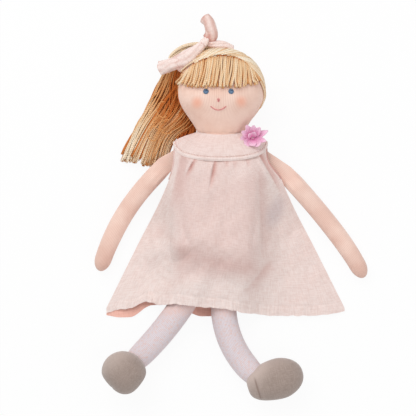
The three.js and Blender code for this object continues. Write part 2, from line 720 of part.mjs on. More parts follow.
function hairCap() {
  const size = 300;
  const aboveNape = new THREE.BoxGeometry(size, size, size).translate(0, NECK_Y + NAPE_RISE + size / 2, 0);
  return common(headShell(CLEARANCE, HAIR_CAP + CLEARANCE), behindHairline(CLEARANCE / 2), aboveNape);
}

// The fringe hangs from the seam in blunt locks
function fringe() {
  const locks = 9;
  const half = FRINGE_WIDTH / 2;
  const low = FRINGE_Y - FRINGE_LENGTH;
  const outline = new THREE.Shape();
  outline.moveTo(NECK_OFFSET - half, low);
  for (let lock = 0; lock < locks; lock += 1) {
    const start = NECK_OFFSET - half + (FRINGE_WIDTH * lock) / locks;
    const width = FRINGE_WIDTH / locks;
    outline.quadraticCurveTo(start + width / 2, low - 5, start + width, low + 1.5 * (lock % 2));
  }
  outline.lineTo(NECK_OFFSET + half, CROWN_Y);
  outline.lineTo(NECK_OFFSET - half, CROWN_Y);
  const front = pillar(outline, HEAD_HEIGHT, HEAD_HEIGHT + HEAD_DEPTH);
  const band = headShell(CLEARANCE, FRINGE_THICKNESS + CLEARANCE);
  return cut(common(band, front), behindHairline(-CLEARANCE / 2));
}

// The stitched line that holds the fringe and the cap together
function hairSeam() {
  const half = HAIR_SEAM_WIDTH / 2;
  const band = headShell(HAIR_CAP + 2 * CLEARANCE, HAIR_CAP + 2 * CLEARANCE + STITCH_RISE);
  const slab = cut(behindHairline(-half), behindHairline(half));
  const front = new THREE.BoxGeometry(HAIR_SEAM_LENGTH, HEAD_LENGTH, HEAD_DEPTH);
  front.translate(NECK_OFFSET - FACE_OFFSET, CROWN_Y, HEAD_HEIGHT + HEAD_DEPTH * 0.6);
  return common(band, slab, front);
}

const PONYTAIL_TIE = new THREE.Vector3(NECK_OFFSET - HEAD_WIDTH * 0.47, CROWN_Y - TIE_DROP, TIE_HEIGHT);
const PONYTAIL_HEADINGS = [34, 30, 22, 16, 12];
function ponytail() {
  const root = new THREE.Vector2(PONYTAIL_TIE.x, PONYTAIL_TIE.y);
  const path = spine(root, PONYTAIL_HEADINGS, PONYTAIL_LENGTH, -1);
  const widths = profile([0, PONYTAIL_ROOT], [0.3, PONYTAIL_END_WIDTH * 0.85], [1, PONYTAIL_END_WIDTH]);
  const depths = profile([0, PONYTAIL_ROOT], [0.3, PONYTAIL_ROOT * 0.9], [1, PONYTAIL_END_DEPTH]);
  const shares = [0.02, 0.08, 0.16, 0.28, 0.42, 0.58, 0.74, 0.88, 0.97, 1];
  const rings = shares.map((share) => {
    const place = path(share);
    const along = heading(path, share);
    const across = new THREE.Vector3(-along.y, along.x, 0);
    const end = share > 0.95 ? mix(1, 0.8, (share - 0.95) / 0.05) : 1;
    const half = (depths(share) / 2) * end;
    const rest = CLEARANCE + depths(share) / 2;
    const height = mix(PONYTAIL_TIE.z, rest, THREE.MathUtils.smoothstep(share, 0, 0.45));
    const centre = new THREE.Vector3(place.x, place.y, height);
    return ring(centre, across, UP, widths(share) / 2, half, PONYTAIL_SIDES, 2.4);
  });
  return cut(loft(rings), ...headSwung());
}

// The head as the swinging ponytail meets it, so that the ponytail clears it all the way
function headSwung() {
  return [0, 0.25, 0.5, 0.75, 1].map((share) => {
    const turned = headForm(HAIR_CAP + 2 * CLEARANCE).translate(-PONYTAIL_TIE.x, -PONYTAIL_TIE.y, 0);
    return turned.rotateZ(radians(share * PONYTAIL_SWING)).translate(PONYTAIL_TIE.x, PONYTAIL_TIE.y, 0);
  });
}

function hairTie() {
  const away = heading(spine(new THREE.Vector2(), PONYTAIL_HEADINGS, PONYTAIL_LENGTH, -1), 0);
  const turn = new THREE.Quaternion().setFromUnitVectors(UP, new THREE.Vector3(away.x, away.y, 0));
  const radius = PONYTAIL_ROOT / 2;
  const bandage = new THREE.TorusGeometry(radius, TIE_THICKNESS / 2, 8, 20).applyQuaternion(turn);
  const place = PONYTAIL_TIE.clone().addScaledVector(new THREE.Vector3(away.x, away.y, 0), -TIE_THICKNESS);
  return cut(bandage.translate(...place), ...headSwung());
}

// A ribbon end: a strip of cloth along a bent path, curled up across its width
function ribbon(points, widths, curl) {
  const path = new THREE.CatmullRomCurve3(points);
  const pointAt = (u, v) => {
    const share = THREE.MathUtils.clamp(v, 0, 1);
    const place = path.getPoint(share);
    const along = path.getTangent(share);
    const across = new THREE.Vector3().crossVectors(along, UP).normalize();
    const over = new THREE.Vector3().crossVectors(across, along).normalize();
    const side = 2 * u - 1;
    place.addScaledVector(across, (side * widths(v)) / 2);
    return place.addScaledVector(over, curl * (1 - side * side)).addScaledVector(along, v - share);
  };
  return sheet(pointAt, 6, 8, RIBBON_CLOTH, () => UP);
}

const KNOT_Y = CROWN_Y + HAIR_CAP + KNOT_WIDTH / 3;
const KNOT = new THREE.Vector3(NECK_OFFSET - HEAD_WIDTH * 0.2, KNOT_Y, HEAD_HEIGHT + KNOT_LIFT);
const offset = (point, x, y, z) => new THREE.Vector3(point.x + x, point.y + y, point.z + z);
const overHair = headForm(HAIR_CAP + 2 * CLEARANCE);

function bowKnot() {
  const ball = new THREE.SphereGeometry(0.5, 14, 10).scale(KNOT_LENGTH, KNOT_WIDTH, KNOT_WIDTH);
  return cut(ball.translate(...KNOT), overHair);
}

function bowBand() {
  const widths = profile([0, BAND_WIDTH], [0.5, BAND_WIDTH * 0.8], [1, KNOT_WIDTH * 0.8]);
  const start = offset(PONYTAIL_TIE, 0, 5, PONYTAIL_ROOT / 2 + 5);
  const finish = offset(KNOT, -KNOT_LENGTH / 2 - 1, -2, 1);
  const middle = start.clone().lerp(finish, 0.5);
  middle.z += 4;
  return cut(ribbon([start, middle, finish], widths, 2), overHair);
}

function bowUpperTail() {
  const widths = profile([0, UPPER_TAIL_WIDTH], [0.4, UPPER_TAIL_WIDTH * 0.74], [1, UPPER_TAIL_WIDTH * 0.68]);
  const start = offset(KNOT, KNOT_LENGTH / 2, KNOT_WIDTH / 2 + 3 * CLEARANCE, -2);
  const middle = offset(start, 2, UPPER_TAIL_LENGTH * 0.42, 5);
  const finish = offset(start, -4, UPPER_TAIL_LENGTH * 0.94, 0);
  return ribbon([start, middle, finish], widths, 3);
}

function bowSideTail() {
  const widths = profile([0, SIDE_TAIL_WIDTH * 0.8], [1, SIDE_TAIL_WIDTH]);
  const start = offset(PONYTAIL_TIE, -1, 0, PONYTAIL_ROOT / 2 + 2);
  const finish = offset(start, -SIDE_TAIL_LENGTH, -6, -8);
  const middle = start.clone().lerp(finish, 0.5);
  middle.z += 3;
  return ribbon([start, middle, finish], widths, 1.5);
}

function bowBackTail() {
  const widths = profile([0, KNOT_WIDTH * 0.8], [1, KNOT_WIDTH]);
  const start = offset(KNOT, KNOT_LENGTH / 2 + 1, 0, 0);
  const finish = offset(start, BACK_TAIL_LENGTH * 0.95, -4, -6);
  const middle = start.clone().lerp(finish, 0.5);
  middle.y += 1;
  return cut(ribbon([start, middle, finish], widths, 1), overHair);
}

// Face stitches: pads that follow the front of the head
function faceStitch(shape) {
  const tool = pillar(shape, HEAD_HEIGHT, HEAD_HEIGHT + HEAD_DEPTH);
  return common(headShell(CLEARANCE, CLEARANCE + STITCH_RISE), tool);
}

const FACE_X = NECK_OFFSET + FACE_OFFSET;
function eye(side) {
  const x = FACE_X + (side * EYE_SPACING) / 2;
  return faceStitch(new THREE.Shape().absarc(x, CROWN_Y - EYE_DROP, EYE_DIAMETER / 2, 0, 2 * Math.PI));
}

function nose() {
  const outline = new THREE.Shape();
  outline.absellipse(FACE_X, CROWN_Y - NOSE_DROP, NOSE_WIDTH / 2, NOSE_LENGTH / 2);
  return faceStitch(outline);
}

function mouth() {
  const y = CROWN_Y - MOUTH_DROP;
  const half = MOUTH_WIDTH / 2;
  const smile = new THREE.Shape();
  smile.moveTo(FACE_X - half, y);
  smile.quadraticCurveTo(FACE_X, y - 2 * MOUTH_DEPTH, FACE_X + half, y);
  smile.lineTo(FACE_X + half - 0.4, y + MOUTH_THREAD);
  smile.quadraticCurveTo(FACE_X, y - 2 * MOUTH_DEPTH + MOUTH_THREAD, FACE_X - half + 0.4, y + MOUTH_THREAD);
  return faceStitch(smile);
}

// Flower on the collar: two cut layers of five cupped petals and a stitched centre
const FLOWER = collarPoint(0.165, 0.42);
const FLOWER_FACING = new THREE.Vector3(0.3, 0.5, 0.81).normalize();
const INNER_PETAL_LIFT = 2 * (FLOWER_CLOTH + CLEARANCE) + 2 * CLEARANCE;
function petals(diameter, lift, turn) {
  const pointAt = (u, v) => {
    const angle = 2 * Math.PI * u + turn;
    const petal = mix(PETAL_NOTCH, 1, Math.abs(Math.cos(2.5 * angle)) ** 0.7);
    const reach = (diameter / 2) * mix(FLOWER_KNOT / diameter, 1, v) * petal;
    const cup = lift + diameter * 0.16 * v * v;
    return new THREE.Vector3(reach * Math.cos(angle), reach * Math.sin(angle), cup);
  };
  const flat = sheet(pointAt, 30, 2, FLOWER_CLOTH, () => UP, true);
  return placeFlower(flat);
}

function placeFlower(geometry) {
  const tilt = new THREE.Quaternion().setFromUnitVectors(UP, FLOWER_FACING);
  return geometry.translate(0, 0, FLOWER_LIFT).applyQuaternion(tilt).translate(...FLOWER);
}

function flowerKnot() {
  const height = INNER_PETAL_LIFT + FLOWER_KNOT / 2;
  const radius = (FLOWER_KNOT / 2) * PETAL_NOTCH - CLEARANCE;
  const stalk = new THREE.CylinderGeometry(radius, radius, height, 12).rotateX(Math.PI / 2);
  return placeFlower(stalk.translate(0, 0, height / 2 + CLEARANCE));
}

function backButton() {
  const disc = new THREE.CylinderGeometry(BUTTON_DIAMETER / 2, BUTTON_DIAMETER / 2, BUTTON_THICKNESS, 20);
  const place = collarPoint(0.5, 0.3);
  const low = collarPoint(0.5, 0.5);
  const slope = Math.atan2(place.z - low.z, place.y - low.y);
  const seat = CLEARANCE + BUTTON_THICKNESS / 2;
  disc.rotateX(Math.PI / 2 + slope).translate(0, Math.sin(slope) * seat, -Math.cos(slope) * seat);
  return disc.translate(...place);
}

// Materials
function cloth(colour, roughness = 0.95) {
  return new THREE.MeshStandardMaterial({ color: colour, roughness, metalness: 0 });
}
const skin = cloth(0xe9c8b9);
const muslin = cloth(0xebd5cf);
const tights = cloth(0xe9e4ea);
const shoeCloth = cloth(0xafa096);
const yarn = cloth(0xd9ad74);
const petalCloth = cloth(0xe9a6cb);
const blueThread = cloth(0x5f86c4, 0.6);
const pinkThread = cloth(0xe08a86, 0.6);
const fibre = cloth(0xf6f4ee, 1);
const elastic = cloth(0xb98a58, 0.8);
const buttonShell = cloth(0xf1e6dc, 0.4);

const doll = new THREE.Group();
function piece(name, geometry, material) {
  const mesh = new THREE.Mesh(geometry, material.clone());
  mesh.name = name;
  doll.add(mesh);
}

// A stuffed bag: the cover is open where it is sewn on, and the filling fills it
const outOfNeck = 2;
const STUFFED_FROM = 0.5;
piece("torso_cover", cut(torsoForm(0), torsoForm(-COVER_WALL, NECK_Y + outOfNeck)), skin);
piece("torso_stuffing", torsoForm(-COVER_WALL - CLEARANCE), fibre);
piece("head_cover", cut(headForm(0), headForm(-COVER_WALL, NECK_Y - outOfNeck)), skin);
piece("head_stuffing", headForm(-COVER_WALL - CLEARANCE), fibre);

for (const [name, design] of Object.entries(SIDES)) {
  const { arm, leg } = design;
  piece(`${name}_arm_tab`, armTab(design), skin);
  piece(`${name}_arm_cover`, cut(limbForm(arm, 0), limbForm(arm, -COVER_WALL, outOfNeck)), skin);
  piece(`${name}_arm_stuffing`, limbForm(arm, -COVER_WALL - CLEARANCE, 0, STUFFED_FROM), fibre);
  const nearShoe = shoeForm(design, CLEARANCE);
  const legFilling = limbForm(leg, -COVER_WALL - CLEARANCE, 0, STUFFED_FROM);
  piece(`${name}_leg_cover`, cut(limbForm(leg, 0), limbForm(leg, -COVER_WALL, outOfNeck), nearShoe), tights);
  piece(`${name}_leg_stuffing`, cut(legFilling, nearShoe), fibre);
  const ankle = limbForm(leg, -COVER_WALL - LEG_THICKNESS * 0.15);
  piece(`${name}_shoe_cover`, cut(shoeForm(design, 0), shoeForm(design, -COVER_WALL), ankle), shoeCloth);
  piece(`${name}_shoe_stuffing`, shoeForm(design, -COVER_WALL - CLEARANCE), fibre);
  piece(`${name}_armhole_binding`, armholeBinding(design.side), muslin);
  piece(`${name}_eye`, eye(design.side), blueThread);
}

piece("dress_front", sheet(dressFrontPoint, PANEL_COLUMNS, PANEL_ROWS, DRESS_CLOTH, () => UP), muslin);
piece("dress_back", dressBack(), muslin);
piece("collar", sheet(collarPoint, 40, 4, COLLAR_CLOTH, awayFromNeck, true), muslin);
piece("back_button", backButton(), buttonShell);
piece("flower_outer_petals", petals(FLOWER_DIAMETER, FLOWER_CLOTH + CLEARANCE, 0), petalCloth);
piece("flower_inner_petals", petals(FLOWER_INNER_DIAMETER, INNER_PETAL_LIFT, 0.6), petalCloth);
piece("flower_knot", flowerKnot(), petalCloth);

piece("nose", nose(), pinkThread);
piece("mouth", mouth(), pinkThread);
piece("hair_cap", hairCap(), yarn);
piece("fringe", fringe(), yarn);
piece("hair_seam", hairSeam(), yarn);
piece("ponytail", ponytail(), yarn);
piece("hair_tie", hairTie(), elastic);
piece("bow_knot", bowKnot(), muslin);
piece("bow_band", bowBand(), muslin);
piece("bow_upper_tail", bowUpperTail(), muslin);
piece("bow_side_tail", bowSideTail(), muslin);
piece("bow_back_tail", bowBackTail(), muslin);

export default doll;
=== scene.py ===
# Rag doll on its back: jersey body, A-line muslin dress, yarn hair in a side ponytail with a bow.
# Forms are worked out in millimetres and set into the meshes in metres, on the frame's own places.
import math

import bpy
import numpy as np
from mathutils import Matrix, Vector


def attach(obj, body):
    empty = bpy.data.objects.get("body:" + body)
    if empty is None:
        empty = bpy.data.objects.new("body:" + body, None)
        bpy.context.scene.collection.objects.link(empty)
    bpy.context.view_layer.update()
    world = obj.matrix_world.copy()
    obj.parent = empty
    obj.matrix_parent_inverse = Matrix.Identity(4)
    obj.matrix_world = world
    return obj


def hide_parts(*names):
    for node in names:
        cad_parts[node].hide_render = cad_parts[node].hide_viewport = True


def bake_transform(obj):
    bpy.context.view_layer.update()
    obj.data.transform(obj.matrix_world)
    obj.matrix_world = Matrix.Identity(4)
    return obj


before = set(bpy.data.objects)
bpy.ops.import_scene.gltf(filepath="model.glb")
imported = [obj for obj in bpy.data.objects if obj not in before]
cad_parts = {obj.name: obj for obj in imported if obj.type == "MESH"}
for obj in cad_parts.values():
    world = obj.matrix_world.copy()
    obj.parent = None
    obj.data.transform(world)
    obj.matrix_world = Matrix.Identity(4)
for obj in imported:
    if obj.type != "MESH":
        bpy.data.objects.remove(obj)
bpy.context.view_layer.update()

MM = 0.001
DRAW = np.random.default_rng(20)

# Sizes of the doll: the part's own, but for the ribbon's cloth, the shoes' widths and the side bulge
CLEARANCE = 0.3
DRESS_CLOTH, COLLAR_CLOTH, RIBBON_CLOTH = 1.2, 1.6, 1.0
TORSO_LENGTH, TORSO_WIDTH, TORSO_DEPTH = 158, 96, 58
SHOULDER_WIDTH, SHOULDER_DROP = 84, 22
SEAT_WIDTH, SEAT_TAPER, SEAT_SEAM_HEIGHT, SEAT_OFFSET = 88, 36, 15, -4.5
NECK_WIDTH, NECK_DEPTH, NECK_HEIGHT, NECK_OFFSET = 50, 38, 30, 2
HEAD_WIDTH, HEAD_LENGTH, HEAD_DEPTH, HEAD_WIDEST = 95, 93.5, 70, 0.47
HAIR_CAP = 3
ARM_LENGTH, ARM_THICKNESS, HAND_THICKNESS, ARM_TAPER = 147, 21, 18.5, 24
ARM_TAB_WIDTH, ARM_SEAM_HEIGHT, ARM_SEAM_DROP = 20, 24, 27
LEG_LENGTH, LEG_THICKNESS, ANKLE_THICKNESS, LEG_TAPER = 128, 29, 28, 28
LEG_TAB_WIDTH, LEG_SPACING = 25, 32
SHOE_LENGTH, SHOE_WIDTH, SHOE_HEEL_WIDTH, SHOE_SETBACK, SHOE_DEPTH = 64, 50, 43, 8, 46.5
SEAM_TAB = 3
DRESS_LENGTH, HEM_WIDTH, HEM_OFFSET, HEM_RISE = 165, 271, 7.5, 34
CHEST_DROP, CHEST_WIDTH, CHEST_OFFSET, CHEST_EASE = 18, 104, 1.5, 12
UNDERARM_WIDTH, UNDERARM_OFFSET, UNDERARM_DROP, SIDE_SEAM_FALL = 126, 7, 51, 58
ARMHOLE_RISE, BELLY_EASE, LAP_RISE, SIDE_FALL, SIDE_BULGE = 34, 3.4, 8, 5, 0.1
HEM_FOLD, HEM_FOLDS = 3, 4
COLLAR_DROP, COLLAR_WIDTH, COLLAR_FULLNESS = 31, 106, 2.5
NECK_Y, SEAT_Y = TORSO_LENGTH / 2, -TORSO_LENGTH / 2
BACK_REST = DRESS_CLOTH + CLEARANCE
CROWN_Y = NECK_Y + HEAD_LENGTH
HEAD_HEIGHT = 2 * CLEARANCE + HAIR_CAP + HEAD_DEPTH / 2
TORSO_HEIGHT = BACK_REST + TORSO_DEPTH / 2
UNDERARM_Y = NECK_Y - UNDERARM_DROP
CHEST_Y = NECK_Y - CHEST_DROP
HEM_Y = NECK_Y - COLLAR_DROP - DRESS_LENGTH
TIE = np.array([NECK_OFFSET - HEAD_WIDTH * 0.47, CROWN_Y - 13.5, 33])
KNOT = np.array([NECK_OFFSET - HEAD_WIDTH * 0.2, CROWN_Y + HAIR_CAP + 3, HEAD_HEIGHT + 8])
FACE_X = NECK_OFFSET - 3


# Numbers and curves
def mix(low, high, share):
    return low + (high - low) * share


def smooth(value, low, high):
    share = np.clip((value - low) / (high - low), 0, 1)
    return share * share * (3 - 2 * share)


def hump(value, middle, width):
    """A soft rise from 0 to 1 and back, about a middle"""
    return np.exp(-(((value - middle) / width) ** 2))


def squared(wave, fullness):
    """A sine or cosine of an oval that is fuller at its corners"""
    return np.sign(wave) * np.abs(wave) ** (2 / fullness)


def stack(x, y, z):
    return np.stack(np.broadcast_arrays(x, y, z), axis=-1).astype(float)


def raised(flat, z):
    return stack(flat[..., 0], flat[..., 1], z)


def unit(vectors):
    return vectors / np.maximum(np.linalg.norm(vectors, axis=-1, keepdims=True), 1e-9)


def vector(point):
    """A place in millimetres, as plain numbers in metres"""
    return tuple(float(value) * MM for value in point)


def profile(*pairs):
    """A smooth curve of values through (station, value) pairs"""
    stations, values = np.array(pairs, float).T
    rises = np.diff(values) / np.diff(stations)
    before = np.concatenate((rises[:1], rises))
    after = np.concatenate((rises, rises[-1:]))
    same = before * after > 0
    slopes = np.zeros(len(stations))
    slopes[same] = 2 * before[same] * after[same] / (before[same] + after[same])

    def at(station):
        held = np.clip(station, stations[0], stations[-1])
        index = np.clip(np.searchsorted(stations, held) - 1, 0, len(stations) - 2)
        span = stations[index + 1] - stations[index]
        share = (held - stations[index]) / span
        rest = 1 - share
        leave = share * rest * rest * span * slopes[index]
        arrive = -share * share * rest * span * slopes[index + 1]
        level = mix(values[index], values[index + 1], share * share * (3 - 2 * share))
        return level + leave + arrive

    return at


def domed(v, rows, start):
    """Even rows up to a start, then rows along a quarter circle to the end at 1"""
    turn = np.clip((v - rows) / (1 - rows), 0, 1) * np.pi / 2
    return np.where(v < rows, v / rows * start, start + (1 - start) * np.sin(turn))


def through(points, count):
    """A smooth path of count places through control points"""
    points = np.asarray(points, float)
    knots = points.shape[-2]
    places = np.linspace(0, knots - 1, count)
    index = np.minimum(places.astype(int), knots - 2)
    share = (places - index)[:, None]
    before = points[..., np.maximum(index - 1, 0), :]
    start = points[..., index, :]
    end = points[..., index + 1, :]
    after = points[..., np.minimum(index + 2, knots - 1), :]
    bend = (2 * before - 5 * start + 4 * end - after) * share**2
    twist = (3 * start - before - 3 * end + after) * share**3
    return 0.5 * (2 * start + (end - before) * share + bend + twist)


def on_path(points, shares, stations=None):
    """Places on a path, by shares of it or by its own stations"""
    if stations is None:
        stations = np.linspace(0, 1, len(points))
    return np.stack([np.interp(shares, stations, points[:, axis]) for axis in range(points.shape[1])], -1)


def ripple(x, y, wave, seed):
    """Soft uneven waves of about one wavelength, mostly from -1 to 1"""
    draw = np.random.default_rng(seed)
    total = 0
    for turn in draw.uniform(0, 2 * math.pi, 7):
        pitch = 2 * math.pi / (wave * draw.uniform(0.7, 1.5))
        phase = draw.uniform(0, 2 * math.pi)
        total = total + np.sin(pitch * (x * math.cos(turn) + y * math.sin(turn)) + phase)
    return total / 4.5


# Meshes
def select_none():
    bpy.ops.object.select_all(action="DESELECT")


def active(piece):
    select_none()
    bpy.context.view_layer.objects.active = piece
    piece.select_set(True)
    return piece


def linked(name, data):
    piece = bpy.data.objects.new(name, data)
    bpy.context.collection.objects.link(piece)
    return piece


def smoothed(piece, angle=None):
    """Smooth shading, all over or up to an angle in degrees"""
    active(piece)
    if angle is None:
        bpy.ops.object.shade_smooth()
    else:
        bpy.ops.object.shade_smooth_by_angle(angle=math.radians(angle))
    return piece


def apply_modifier(piece, kind, **settings):
    active(piece)
    modifier = piece.modifiers.new(kind.title(), kind)
    for key, value in settings.items():
        setattr(modifier, key, value)
    bpy.ops.object.modifier_apply(modifier=modifier.name)
    return piece


def places_of(piece):
    places = np.empty(len(piece.data.vertices) * 3)
    piece.data.vertices.foreach_get("co", places)
    return places.reshape(-1, 3)


def note(piece, name, values):
    """A number at each point of a piece, for its finish"""
    numbers = piece.data.attributes.new(name, "FLOAT", "POINT")
    numbers.data.foreach_set("value", np.asarray(values, np.float32))


def lay_panel(name, columns, rows, place, closed=False, flip=False, tone=None):
    """A flat grid laid on place(u, v), with its map measured in centimetres both ways"""
    select_none()
    bpy.ops.mesh.primitive_grid_add(x_subdivisions=columns, y_subdivisions=rows, size=2)
    piece = bpy.context.object
    piece.name = piece.data.name = name
    flat = places_of(piece)
    u, v = flat[:, 0] / 2 + 0.5, flat[:, 1] / 2 + 0.5
    points = place(u, v)
    piece.data.vertices.foreach_set("co", (points * MM).ravel())
    if tone is not None:
        note(piece, "tone", tone(u, v))
    net = points.reshape(rows + 1, columns + 1, 3)
    across = np.linalg.norm(np.diff(net, axis=1), axis=2).sum(1).max() / 10
    along = np.linalg.norm(np.diff(net, axis=0), axis=2).sum(0).max() / 10
    weave = np.empty(len(piece.data.loops) * 2)
    piece.data.uv_layers[0].data.foreach_get("uv", weave)
    weave = weave.reshape(-1, 2) * (across, along)
    piece.data.uv_layers[0].data.foreach_set("uv", weave.ravel())
    active(piece)
    bpy.ops.object.mode_set(mode="EDIT")
    bpy.ops.mesh.select_all(action="SELECT")
    if closed:
        bpy.ops.mesh.remove_doubles(threshold=0.00002)
        bpy.ops.mesh.normals_make_consistent(inside=False)
    elif flip:
        bpy.ops.mesh.flip_normals()
    bpy.ops.object.mode_set(mode="OBJECT")
    return smoothed(piece)


def join(name, pieces):
    active(pieces[0])
    for piece in pieces[1:]:
        piece.select_set(True)
    bpy.ops.object.join()
    pieces[0].name = pieces[0].data.name = name
    return pieces[0]


def thicken(piece, cloth):
    apply_modifier(piece, "SOLIDIFY", thickness=cloth * MM, offset=-1, use_even_offset=False)
    return smoothed(piece, 60)


def yarn(name, paths, radius, sides=5, tones=None, ends=(0.7, 0.7)):
    """Tubes along paths of shape (count, rings, 3), each with its own tones and twist"""
    paths = np.asarray(paths, float)
    count, rings = paths.shape[:2]
    along = unit(np.gradient(paths, axis=1))
    steep = np.abs(along[..., 2]).mean(1) > 0.8
    side_of = np.where(steep[:, None, None], [1.0, 0.0, 0.0], [0.0, 0.0, 1.0])
    across = unit(np.cross(along, np.broadcast_to(side_of, along.shape)))
    over = np.cross(across, along)
    angles = 2 * np.pi * np.arange(sides) / sides
    swell = np.ones(rings)
    swell[0], swell[-1] = ends
    reach = (np.broadcast_to(radius, (count,))[:, None] * swell)[..., None, None]
    ring = np.cos(angles)[:, None] * across[:, :, None] + np.sin(angles)[:, None] * over[:, :, None]
    points = (paths[:, :, None] + reach * ring).reshape(-1, 3)
    row, side = np.meshgrid(np.arange(rings - 1), np.arange(sides), indexing="ij")
    after = (side + 1) % sides
    here, there = row * sides, (row + 1) * sides
    quads = np.stack((here + side, here + after, there + after, there + side), -1)
    starts = np.arange(count)[:, None] * rings * sides
    walls = (quads.reshape(1, -1, 4) + starts[:, :, None]).reshape(-1, 4)
    hoop = np.arange(sides)
    caps = np.concatenate((starts + hoop[::-1], starts + (rings - 1) * sides + hoop))
    mesh = bpy.data.meshes.new(name)
    mesh.from_pydata((points * MM).tolist(), [], walls.tolist() + caps.tolist())
    lengths = np.linalg.norm(np.diff(paths, axis=1), axis=2).cumsum(1) / 10
    lengths = np.concatenate((np.zeros((count, 1)), lengths), 1)
    low, high = lengths[:, row], lengths[:, row + 1]
    phase = DRAW.uniform(0, 1, (count, 1, 1))
    turn = phase + np.broadcast_to(side / sides, low.shape)
    ahead = turn + 1 / sides
    wrap = np.stack((turn, low, ahead, low, ahead, high, turn, high), -1).reshape(-1, 2)
    wrap = np.concatenate((wrap, np.zeros((len(caps) * sides, 2))))
    mesh.uv_layers.new(name="Twist").data.foreach_set("uv", wrap.ravel())
    tones = np.asarray(DRAW.uniform(0, 1, count) if tones is None else tones, float)
    tones = np.broadcast_to(tones.reshape(len(tones), -1), (count, rings))
    piece = linked(name, mesh)
    note(piece, "tone", np.repeat(tones.ravel(), sides))
    return smoothed(piece)


STITCH_RISE = 0.25


def stitches(name, line, stitch, gap, radius):
    """Short threads along a line, each sunk at its ends"""
    line = np.asarray(line, float)
    lengths = np.concatenate(([0], np.linalg.norm(np.diff(line, axis=0), axis=1).cumsum()))
    count = max(int(lengths[-1] / (stitch + gap)), 1)
    first = (np.arange(count) + 0.5) * lengths[-1] / count - stitch / 2
    shares = first[:, None] + np.linspace(0, stitch, 5)
    paths = on_path(line, shares, lengths)
    paths[:, [0, -1], 2] -= radius * 1.2
    paths[:, 1:-1, 2] += STITCH_RISE
    return yarn(name, paths, radius, 6, ends=(0.8, 0.8))


# Stuffed forms
torso_half_width = profile(
    (0, NECK_WIDTH / 2), (SHOULDER_DROP, SHOULDER_WIDTH / 2), (TORSO_LENGTH * 0.55, TORSO_WIDTH / 2),
    (TORSO_LENGTH - SEAT_TAPER, TORSO_WIDTH / 2), (TORSO_LENGTH, SEAT_WIDTH / 2),
)
chest_half_depth = profile(
    (0, NECK_DEPTH / 2), (SHOULDER_DROP, TORSO_DEPTH * 0.43), (TORSO_LENGTH * 0.4, TORSO_DEPTH / 2),
    (TORSO_LENGTH, TORSO_DEPTH / 2),
)
chest_height = profile((0, NECK_HEIGHT), (TORSO_LENGTH * 0.4, TORSO_HEIGHT), (TORSO_LENGTH, TORSO_HEIGHT))
TORSO_FULLNESS = 2.3


def torso_section(y):
    """Middle, height, half width and half depth of the torso at y"""
    station = np.clip(NECK_Y - y, 0, TORSO_LENGTH)
    seat = (1 - np.cos(np.pi * np.clip((TORSO_LENGTH - station) / SEAT_TAPER, 0, 1))) / 2
    middle = mix(NECK_OFFSET, SEAT_OFFSET, station / TORSO_LENGTH)
    height = mix(SEAT_SEAM_HEIGHT, chest_height(station), seat)
    return middle, height, torso_half_width(station), mix(SEAM_TAB / 2, chest_half_depth(station), seat)


def torso_top(x, y, grow):
    middle, height, half_width, half_depth = torso_section(y)
    share = np.minimum(np.abs(x - middle) / (half_width + grow), 1)
    return height + (half_depth + grow) * (1 - share**TORSO_FULLNESS) ** (1 / TORSO_FULLNESS)


def clear_of_torso(points, gap):
    """Moves points out from the torso's middle until they clear it by a gap"""
    middle, height, half_width, half_depth = torso_section(points[..., 1])
    centre = stack(middle, points[..., 1], height)
    away = points - centre
    width = np.abs(away[..., 0]) / (half_width + gap)
    depth = np.abs(away[..., 2]) / (half_depth + gap)
    inside = (width**TORSO_FULLNESS + depth**TORSO_FULLNESS) ** (1 / TORSO_FULLNESS)
    return centre + away / np.minimum(np.maximum(inside, 1e-6), 1)[..., None]


def head_swell(station):
    share = np.minimum(station / HEAD_WIDEST, 1)
    return 0.5 * np.sin(np.pi / 2 * share) + 0.25 * (1 - np.cos(np.pi * share))


def head_half(station, at_neck, at_widest):
    share = np.clip((station - HEAD_WIDEST) / (1 - HEAD_WIDEST), 0, 1)
    dome = at_widest * np.sqrt(np.maximum(1 - share**2.2, 0))
    return np.where(station > HEAD_WIDEST, dome, mix(at_neck, at_widest, head_swell(station)))


def head_section(y, grow):
    """Height, half width and half depth of the head at y"""
    station = np.clip((y - NECK_Y) / (HEAD_LENGTH + grow), 0, 1)
    height = mix(NECK_HEIGHT, HEAD_HEIGHT, head_swell(station))
    sideways = grow * (1 - station**8)
    half_width = head_half(station, NECK_WIDTH / 2, HEAD_WIDTH / 2) + sideways
    half_depth = head_half(station, NECK_DEPTH / 2, HEAD_DEPTH / 2) + sideways
    return height, np.maximum(half_width, 0.05), np.maximum(half_depth, 0.05)


def head_front(x, y, grow=0.0):
    height, half_width, half_depth = head_section(y, grow)
    share = np.clip(np.abs(x - NECK_OFFSET) / half_width, 0, 0.999)
    return height + half_depth * np.sqrt(1 - share**2)


def onto_head(points, lift):
    """Slides points along rays from the middle of the head onto the head grown by lift"""
    middle = np.array([NECK_OFFSET, NECK_Y + HEAD_LENGTH * 0.55, HEAD_HEIGHT])
    rays = unit(points - middle)
    near, far = np.zeros(points.shape[:-1]), np.full(points.shape[:-1], 120.0)
    for halving in range(22):
        reach = (near + far) / 2
        place = middle + rays * reach[..., None]
        height, half_width, half_depth = head_section(place[..., 1], lift)
        width = (place[..., 0] - NECK_OFFSET) / half_width
        outside = width**2 + ((place[..., 2] - height) / half_depth) ** 2 > 1
        near, far = np.where(outside, near, reach), np.where(outside, reach, far)
    return middle + rays * near[..., None]


